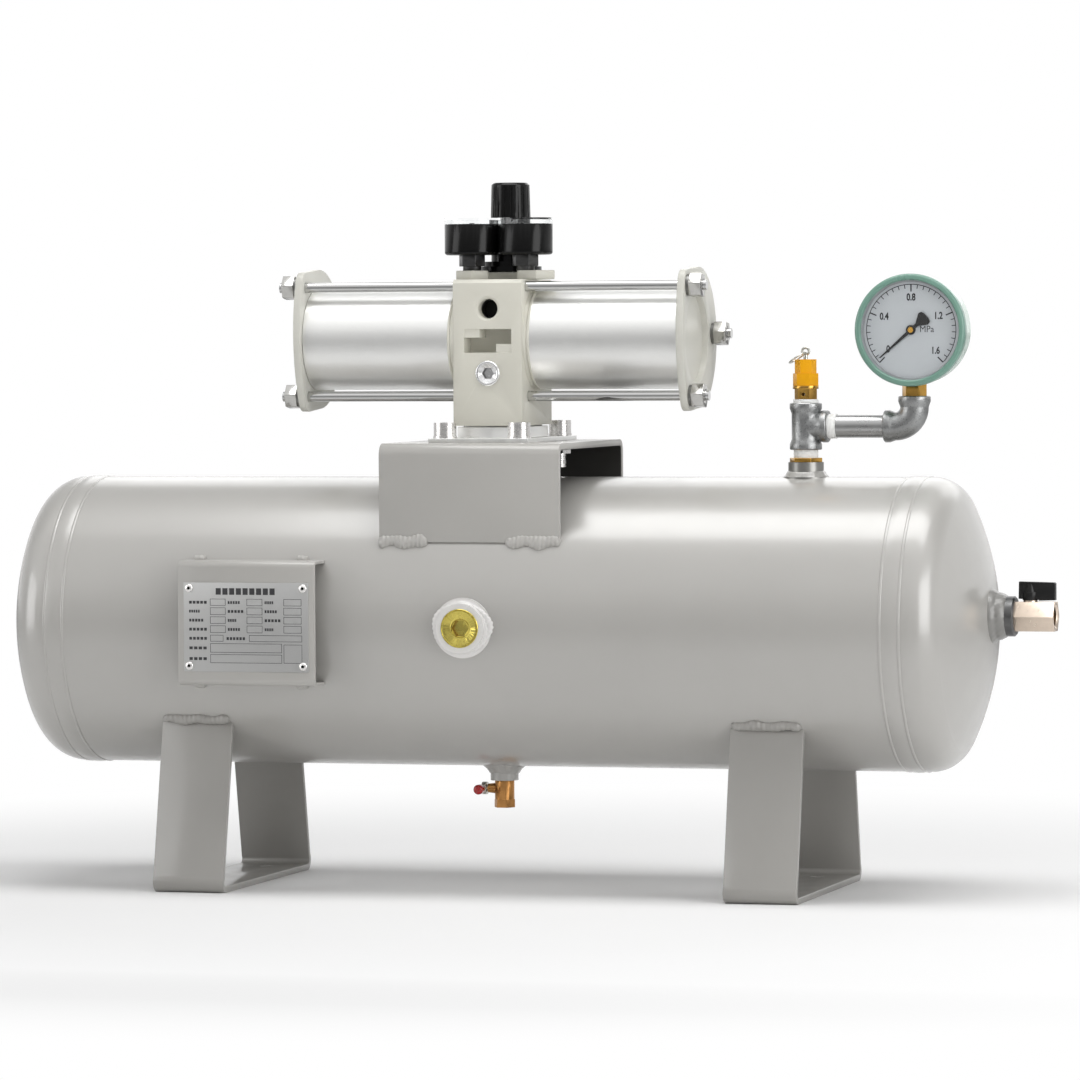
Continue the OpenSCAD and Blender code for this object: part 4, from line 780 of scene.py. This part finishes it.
def tapeWrap(middle, axis, radius, length, seed):
    # sleeve: its outside drifts with height and angle like wound tape, its inside is plain
    inside = radius - tape["wall"]
    profile = np.vstack([heightRows(radius, length, tape["rows"]), [(inside, length), (inside, 0)]])

    def folds(angle, r, z):
        # one slow wave per turn of the tape and five creases round it
        turn = tape["turn"] * np.sin(tau * (z / tape["pitch"]) + angle + seed)
        turn = turn + tape["crease"] * np.sin(5 * angle + 2.1 * z + seed)
        return np.where(r > radius - tape["wall"] / 2, turn, 0)
    return revolve(profile, middle, axis, sides=90, wobble=folds)


teeLow, teeHigh = boxMm("pipe_tee")
pipeLow, pipeHigh = boxMm("pipe_nipple")
pipeRadius = (pipeHigh[2] - pipeLow[2]) / 2
teeZ = midMm("pipe_nipple")[2]
tapeStart = boxMm("top_socket")[1][2] + tape["nippleHex"]
outletTape = tapeHigh[0] - outHigh[0] - 2 * tape["outletGap"]
parts = [tapeWrap((topX, 0, tapeStart), (0, 0, 1), pipeRadius + tape["proud"], teeLow[2] - tapeStart, seed=0.3),
         tapeWrap((teeHigh[0], 0, teeZ), (1, 0, 0), pipeRadius + tape["proud"], tape["branch"], seed=1.4),
         tapeWrap((topX, 0, teeHigh[2]), (0, 0, 1), tape["top"], tapeHigh[2] - teeHigh[2], seed=2.6),
         tapeWrap((outHigh[0] + tape["outletGap"], *outletMid), (1, 0, 0), tape["outlet"], outletTape, seed=4.2)]
addPiece("tapeWraps", joined(parts), sealTape, smoothAngle=60, replaces=("thread_tape",))


def screwThread(middle, axis, radius, depth, pitch, length, sides=48, inside=False):
    # thread: radius falls and rises once per pitch, the groove carried on by one pitch per turn
    count = max(8, int(length / pitch * 10))
    other = radius + 0.4 if inside else 2 * axisGap
    profile = np.vstack([heightRows(radius, length, count), [(other, length), (other, 0)]])
    sign = 1 if inside else -1

    def groove(angle, r, z):
        # cosine groove on the threaded rows, none on the plain ones
        wave = 0.5 + 0.5 * np.cos(tau * (z / pitch) - angle)
        return np.where(np.abs(r - radius) < 1e-6, sign * depth * wave, 0)
    return revolve(profile, middle, axis, sides, groove)


# threads on the tie rod ends, past their nuts
nutLow, nutHigh = boxMm("rod_nuts")
stud = {"thread": {"radius": 4.83, "depth": 0.35, "pitch": 1.5, "length": 4.27}, "sunk": 0.3, "circle": 59.5,
        "turns": (56, 176, 296)}
boosterZ = midMm("tube_left")[2]
parts = []
for turn in stud["turns"]:
    y = -stud["circle"] * math.cos(math.radians(turn))
    z = boosterZ + stud["circle"] * math.sin(math.radians(turn))
    for x, axis in ((nutHigh[0], 1), (nutLow[0], -1)):
        parts.append(screwThread((x - axis * stud["sunk"], y, z), (axis, 0, 0), **stud["thread"]))
addPiece("studThreads", joined(parts), threadSteel)

# threads on the foot screws below their nuts
screwLow, screwHigh = boxMm("foot_screws")
footScrew = {"head": 11.2, "thread": {"radius": 5.83, "depth": 0.5, "pitch": 1.75, "length": 13.0}}
parts = []
for x in (screwLow[0] + footScrew["head"], screwHigh[0] - footScrew["head"]):
    for y in (screwLow[1] + footScrew["head"], screwHigh[1] - footScrew["head"]):
        parts.append(screwThread((x, y, screwLow[2]), (0, 0, 1), **footScrew["thread"]))
addPiece("footThreads", joined(parts), threadSteel)

# pipe threads in the inlet port and the outlet, darkened as painted shade inside the bores, and a near-black disc on
# the inlet's floor as painted shade
mountOf = {m["name"]: m for m in record["mounts"]}
portThread = {"crest": 0.5, "depth": 0.4, "pitch": 1.8, "plain": 11.0, "floorGap": 0.6, "floor": (0.1, 0.6)}
for pieceName, mountName, finish, slotName in (("inletThread", "inlet_port", darkSteelAndShade, "booster_paint"),
                                               ("outletThread", "outlet_port", boreBrassShade, "nickel_brass")):
    mount = mountOf[mountName]
    reach = mount["dims"]["length_mm"]
    axis = np.array(mount["axis"], float)
    start = np.array(mount["pos_m"]) / mm - axis * reach / 2
    reach -= portThread["plain"] if mountName == "inlet_port" else 0
    addPiece(pieceName, screwThread(start, axis, mount["dims"]["r_mm"] - portThread["crest"], portThread["depth"],
                                    portThread["pitch"], reach, sides=64, inside=True), finish)
    if mountName == "inlet_port":
        shadeRadius = mount["dims"]["r_mm"] - portThread["floorGap"]
        shadeBack, shadeFront = portThread["floor"]
        shadeRows = [(axisGap, shadeBack), (shadeRadius, shadeBack), (shadeRadius, shadeFront), (axisGap, shadeFront)]
        addPiece("inletShade", revolve(shadeRows, start, axis, sides=48), boreShade, smoothAngle=30)

# socket plug on the block: a rounded rim round a hexagon socket, with a dark lining in the socket as painted shade
plugRing = {"hex": 10.0, "rise": 1.8, "well": (-1.1, -4.5),
            "rows": [(11.8, -0.05), (11.75, 0.8), (11.3, 1.4), (10.5, 1.75), (9.7, 1.65), (9.0, 1.2), (8.6, 0.95),
                     (5.0, -1.0), (5.0, -4.6), (axisGap, -4.6), (axisGap, -5.4), (7.4, -5.4), (7.4, -0.05)]}


def socketHex(half, near=0.1):
    # rows near the socket's half width open out to a hexagon: radius over the cosine in each sector
    def opening(angle, r, h):
        corner = r / np.cos(angle % (tau / 6) - tau / 12)
        return np.where(np.abs(r - half) < near, corner - r, 0)
    return opening


def socketShadeWell(half, well, place, gap=0.06, wall=0.08, sides=96):
    # thin six-sided wall that lines a hexagon socket from its mouth to its floor, to carry a darker finish as painted
    # shade
    outer, inner = half - gap, half - gap - wall
    rows = [(inner, well[0]), (inner, well[1]), (outer, well[1]), (outer, well[0])]
    return revolve(rows, place, (0, -1, 0), sides, socketHex((outer + inner) / 2))


plugMid = frontMm("block_plug", plugRing["rise"])
addPiece("plugFace", revolve(plugRing["rows"], plugMid, (0, -1, 0), wobble=socketHex(plugRing["hex"] / 2)),
         plugChrome, smoothAngle=32, replaces=("block_plug",))
addPiece("plugWell", socketShadeWell(plugRing["hex"] / 2, plugRing["well"], plugMid), darkSteelAndShade,
         smoothAngle=32)

# brass plug in the front socket: a thin bright lip, a dished face and a round mouth before the hexagon; a darker brass
# lining in the hexagon is painted shade
brassPlug = {"hex": 14.4, "well": (-4.3, -9.1),
             "rows": [(17.9, -0.95), (17.9, -0.3), (17.6, -0.02), (17.0, -0.02), (16.6, -0.4), (12.6, -1.7),
                      (9.5, -2.5), (9.1, -2.3), (8.7, -2.3), (8.4, -2.8), (7.2, -4.2), (7.2, -9.2),
                      (axisGap, -9.2), (axisGap, -10.6), (16.4, -10.6), (16.4, -0.95)]}
brassMid = frontMm("front_plug")
addPiece("brassPlug", revolve(brassPlug["rows"], brassMid, (0, -1, 0), wobble=socketHex(brassPlug["hex"] / 2)),
         plugBrass, smoothAngle=32, replaces=("front_plug",))
addPiece("brassWell", socketShadeWell(brassPlug["hex"] / 2, brassPlug["well"], brassMid), wellBrassShade,
         smoothAngle=32)

# painted shade inside the bracket: a thin dark sheet along its inner outline stands in for the shade in the closed
# channel
lining = {"plate": 6.0, "gap": 0.12, "wall": 0.2, "bend": 5.0, "foot": 0.8, "inset": 0.6, "bendRows": 8}


def liningOutline(inset):
    # half width, bend and top of the channel's inside, from one foot round to the other
    half = bracketHigh[1] - lining["plate"] - lining["gap"] - inset
    top = bracketHigh[2] - lining["plate"] - lining["gap"] - inset
    foot = tankAxis + math.sqrt(tankRadius ** 2 - half ** 2) + lining["foot"]
    turn = np.linspace(0, math.pi / 2, lining["bendRows"])
    y = np.concatenate([[half], half - lining["bend"] + lining["bend"] * np.cos(turn)])
    z = np.concatenate([[foot], top - lining["bend"] + lining["bend"] * np.sin(turn)])
    return np.stack([np.concatenate([y, -y[::-1]]), np.concatenate([z, z[::-1]])], 1)


outline, inner = liningOutline(0), liningOutline(lining["wall"])
ends = (bracketLow[0] + lining["inset"], bracketHigh[0] - lining["inset"])
rows = [np.column_stack([np.full(len(path), x), path])
        for path, x in ((outline, ends[0]), (outline, ends[1]), (inner, ends[1]), (inner, ends[0]))]
count = len(outline)
faces = gridFaces(4, count, True, False)
faces += [[k * count for k in range(4)], [k * count + count - 1 for k in range(4)]]
addPiece("bracketPaintedShade", (np.concatenate(rows), faces), paintedShadeInside, smoothAngle=30)

# bell-shaped boss on the valve handle
handleLow = boxMm("valve_handle")[0]
handleBoss = {"foot": 7.3, "waist": (7.0, 1.5), "head": 4.4, "height": 15.0, "raised": 0.4}
bossRows = [(axisGap, 0), (handleBoss["foot"], 0), handleBoss["waist"], (handleBoss["head"], handleBoss["height"]),
            (axisGap, handleBoss["height"])]
bossPlace = (midMm("valve_ball")[0], 0, handleLow[2] + handleBoss["raised"])
addPiece("handleBoss", revolve(bossRows, bossPlace, (0, 0, 1), sides=48), handleBlack, "valve_lever",
         smoothAngle=30)
print("tape, threads, plugs and linings: done")

# the studio: pale floor, white to the camera, graded surroundings in reflections
studio = {"floorSize": 40.0, "floorColour": 0.86, "floorBounce": 0.96, "floorRough": 0.9, "floorSheen": 0.05,
          "clear": (0.5, 1.3), "table": (-1.0, -0.8), "beyond": 0.6, "worldLight": 0.3, "behind": (-0.15, 0.35),
          "front": [(0.0, 0.75), (0.42, 0.64), (0.49, 0.4), (0.57, 0.42), (0.66, 0.66), (0.76, 1.0), (1.0, 1.15)],
          "rear": [(0.0, 1.0), (0.5, 1.0), (0.62, 0.9), (0.72, 0.5), (0.85, 0.42), (0.93, 0.5), (1.0, 0.9)]}


def lightPathMax(tree, *names):
    # 1 for a ray of any of these kinds, else 0
    path = tree.nodes.new("ShaderNodeLightPath")
    found = path.outputs[names[0]]
    for name in names[1:]:
        top = tree.nodes.new("ShaderNodeMath")
        top.operation = "MAXIMUM"
        tree.links.new(found, top.inputs[0])
        tree.links.new(path.outputs[name], top.inputs[1])
        found = top.outputs[0]
    return found


def mapped(tree, value, source, target=(0, 1), smooth=False):
    # a value carried from one range to another
    node = tree.nodes.new("ShaderNodeMapRange")
    node.interpolation_type = "SMOOTHSTEP" if smooth else "LINEAR"
    setInputs(node, dict(zip(("From Min", "From Max", "To Min", "To Max"), (*source, *target))))
    tree.links.new(value, node.inputs["Value"])
    return node.outputs["Result"]


def mixed(tree, factor, *pair):
    # two colours mixed by a factor; each is a socket or a grey level
    node = tree.nodes.new("ShaderNodeMix")
    node.data_type = "RGBA"
    tree.links.new(factor, node.inputs["Factor"])
    for key, colour in zip("AB", pair):
        if isinstance(colour, (int, float)):
            node.inputs[key].default_value = (colour, colour, colour, 1)
        else:
            tree.links.new(colour, node.inputs[key])
    return node.outputs["Result"]


def coordAxes(tree, kind):
    # a texture coordinate, whole and by axis
    coord = tree.nodes.new("ShaderNodeTexCoord").outputs[kind]
    split = tree.nodes.new("ShaderNodeSeparateXYZ")
    tree.links.new(coord, split.inputs["Vector"])
    return coord, split.outputs


def studioWorld():
    # white to camera and clear views; mirrors see a white back wall, a greyer front and a dim back ceiling
    world = bpy.data.worlds.new("studio")
    bpy.context.scene.world = world
    world.use_nodes = True
    tree = world.node_tree
    tree.nodes.clear()
    axes = coordAxes(tree, "Generated")[1]
    height = mapped(tree, axes["Z"], (-1, 1))
    levels = {}
    for side in ("front", "rear"):
        ramp = tree.nodes.new("ShaderNodeValToRGB")
        while len(ramp.color_ramp.elements) < len(studio[side]):
            ramp.color_ramp.elements.new(0.5)
        for element, (position, level) in zip(ramp.color_ramp.elements, studio[side]):
            element.position = position
            element.color = (level, level, level, 1)
        tree.links.new(height, ramp.inputs["Fac"])
        levels[side] = ramp.outputs["Color"]
    behind = mapped(tree, axes["Y"], studio["behind"], smooth=True)
    around = mixed(tree, behind, levels["front"], levels["rear"])
    mirror = mixed(tree, lightPathMax(tree, "Is Glossy Ray"), studio["worldLight"], around)
    clear = mixed(tree, lightPathMax(tree, "Is Camera Ray", "Is Transmission Ray"), mirror, 1)
    back = tree.nodes.new("ShaderNodeBackground")
    out = tree.nodes.new("ShaderNodeOutputWorld")
    tree.links.new(clear, back.inputs["Color"])
    tree.links.new(back.outputs["Background"], out.inputs["Surface"])


def studioFloor():
    # flat sheet under the feet: takes the shadow near the object, fades to plain white further off
    half = studio["floorSize"] / 2
    points = [[-half, -half, 0], [half, -half, 0], [half, half, 0], [-half, half, 0]]
    mesh = bpy.data.meshes.new("floor")
    mesh.from_pydata(points, [], [[0, 1, 2, 3]])
    floor = bpy.data.objects.new("floor", mesh)
    bpy.context.scene.collection.objects.link(floor)
    mat, tree, bsdf = newFinish("floorWhite")
    setInputs(bsdf, {"Roughness": studio["floorRough"], "Specular IOR Level": studio["floorSheen"]})
    coord, axes = coordAxes(tree, "Object")
    table = mapped(tree, axes["Y"], studio["table"], (studio["beyond"], studio["floorColour"]))
    seen = lightPathMax(tree, "Is Camera Ray", "Is Glossy Ray", "Is Transmission Ray")
    tree.links.new(mixed(tree, seen, studio["floorBounce"], table), bsdf.inputs["Base Color"])
    far = tree.nodes.new("ShaderNodeVectorMath")
    far.operation = "LENGTH"
    tree.links.new(coord, far.inputs[0])
    white = tree.nodes.new("ShaderNodeMath")
    white.operation = "MULTIPLY"
    tree.links.new(mapped(tree, far.outputs["Value"], studio["clear"], smooth=True), white.inputs[0])
    tree.links.new(lightPathMax(tree, "Is Camera Ray", "Is Transmission Ray"), white.inputs[1])
    glow = tree.nodes.new("ShaderNodeEmission")
    glow.inputs["Color"].default_value = (1, 1, 1, 1)
    mix = tree.nodes.new("ShaderNodeMixShader")
    tree.links.new(white.outputs[0], mix.inputs["Fac"])
    tree.links.new(bsdf.outputs["BSDF"], mix.inputs[1])
    tree.links.new(glow.outputs["Emission"], mix.inputs[2])
    tree.links.new(mix.outputs["Shader"], tree.nodes["Material Output"].inputs["Surface"])
    mesh.materials.append(mat)


# soft lamps, in metres and watts; one that isn't mirrored or scattered is left out of gloss or of matt light
lamps = {
    "topLamp": {"place": (0.4, -0.25, 2.3), "target": (0.4, -0.15, 0.3), "size": (2.4, 1.0), "power": 30,
                "scattered": False},
    "topFill": {"place": (0.4, -0.25, 2.3), "target": (0.4, -0.15, 0.3), "size": (2.4, 1.0), "power": 44,
                "mirrored": False},
    "rearLamp": {"place": (0.0, 2.2, 1.6), "target": (0, 0, 0.4), "size": (2.8, 1.2), "power": 14},
    "keyLamp": {"place": (-2.7, -1.6, 0.8), "target": (-0.1, 0, 0.35), "size": (1.6, 1.6), "power": 22},
    "fillLamp": {"place": (0.2, -2.1, 1.9), "target": (0, 0, 0.4), "size": (2.6, 1.0), "power": 6,
                 "mirrored": False},
    "sideLamp": {"place": (2.5, -1.3, 0.9), "target": (0.2, 0, 0.4), "size": (1.6, 1.6), "power": 30},
}


def areaLamp(name, place, target, size, power, mirrored=True, scattered=True):
    # a rectangle of light turned to its target
    light = bpy.data.lights.new(name, "AREA")
    light.energy = power
    light.shape = "RECTANGLE"
    light.size, light.size_y = size
    lamp = bpy.data.objects.new(name, light)
    lamp.location = place
    lamp.rotation_euler = (Vector(target) - Vector(place)).to_track_quat("-Z", "Y").to_euler()
    lamp.visible_glossy = mirrored
    lamp.visible_diffuse = scattered
    bpy.context.scene.collection.objects.link(lamp)


studioWorld()
studioFloor()
for name, lamp in lamps.items():
    areaLamp(name, **lamp)
print("studio: done")

# camera: solved from the photograph
cameraFit = {"azimuth": 15.96, "elevation": 1.98, "roll": -0.34, "place": (1.6114, -5.5239, 0.5261),
             "focalPixels": 6103, "framePixels": 1080, "sensor": 36}


def placeCamera():
    # axes from the azimuth and elevation, then turned by the roll about the line of sight
    a, e = math.radians(cameraFit["azimuth"]), math.radians(cameraFit["elevation"])
    back = Vector((math.sin(a) * math.cos(e), -math.cos(a) * math.cos(e), math.sin(e)))
    right = Vector((math.cos(a), math.sin(a), 0))
    up = back.cross(right)
    turn = math.radians(cameraFit["roll"])
    r = math.cos(turn) * right + math.sin(turn) * up
    u = -math.sin(turn) * right + math.cos(turn) * up
    data = bpy.data.cameras.new("camera")
    data.sensor_width = cameraFit["sensor"]
    data.lens = cameraFit["focalPixels"] / cameraFit["framePixels"] * cameraFit["sensor"]
    data.clip_end = 100
    cam = bpy.data.objects.new("camera", data)
    cam.matrix_world = Matrix((
        (r.x, u.x, back.x, cameraFit["place"][0]), (r.y, u.y, back.y, cameraFit["place"][1]),
        (r.z, u.z, back.z, cameraFit["place"][2]), (0, 0, 0, 1)))
    bpy.context.scene.collection.objects.link(cam)
    bpy.context.scene.camera = cam


placeCamera()
bpy.context.scene.view_settings.view_transform = "Standard"
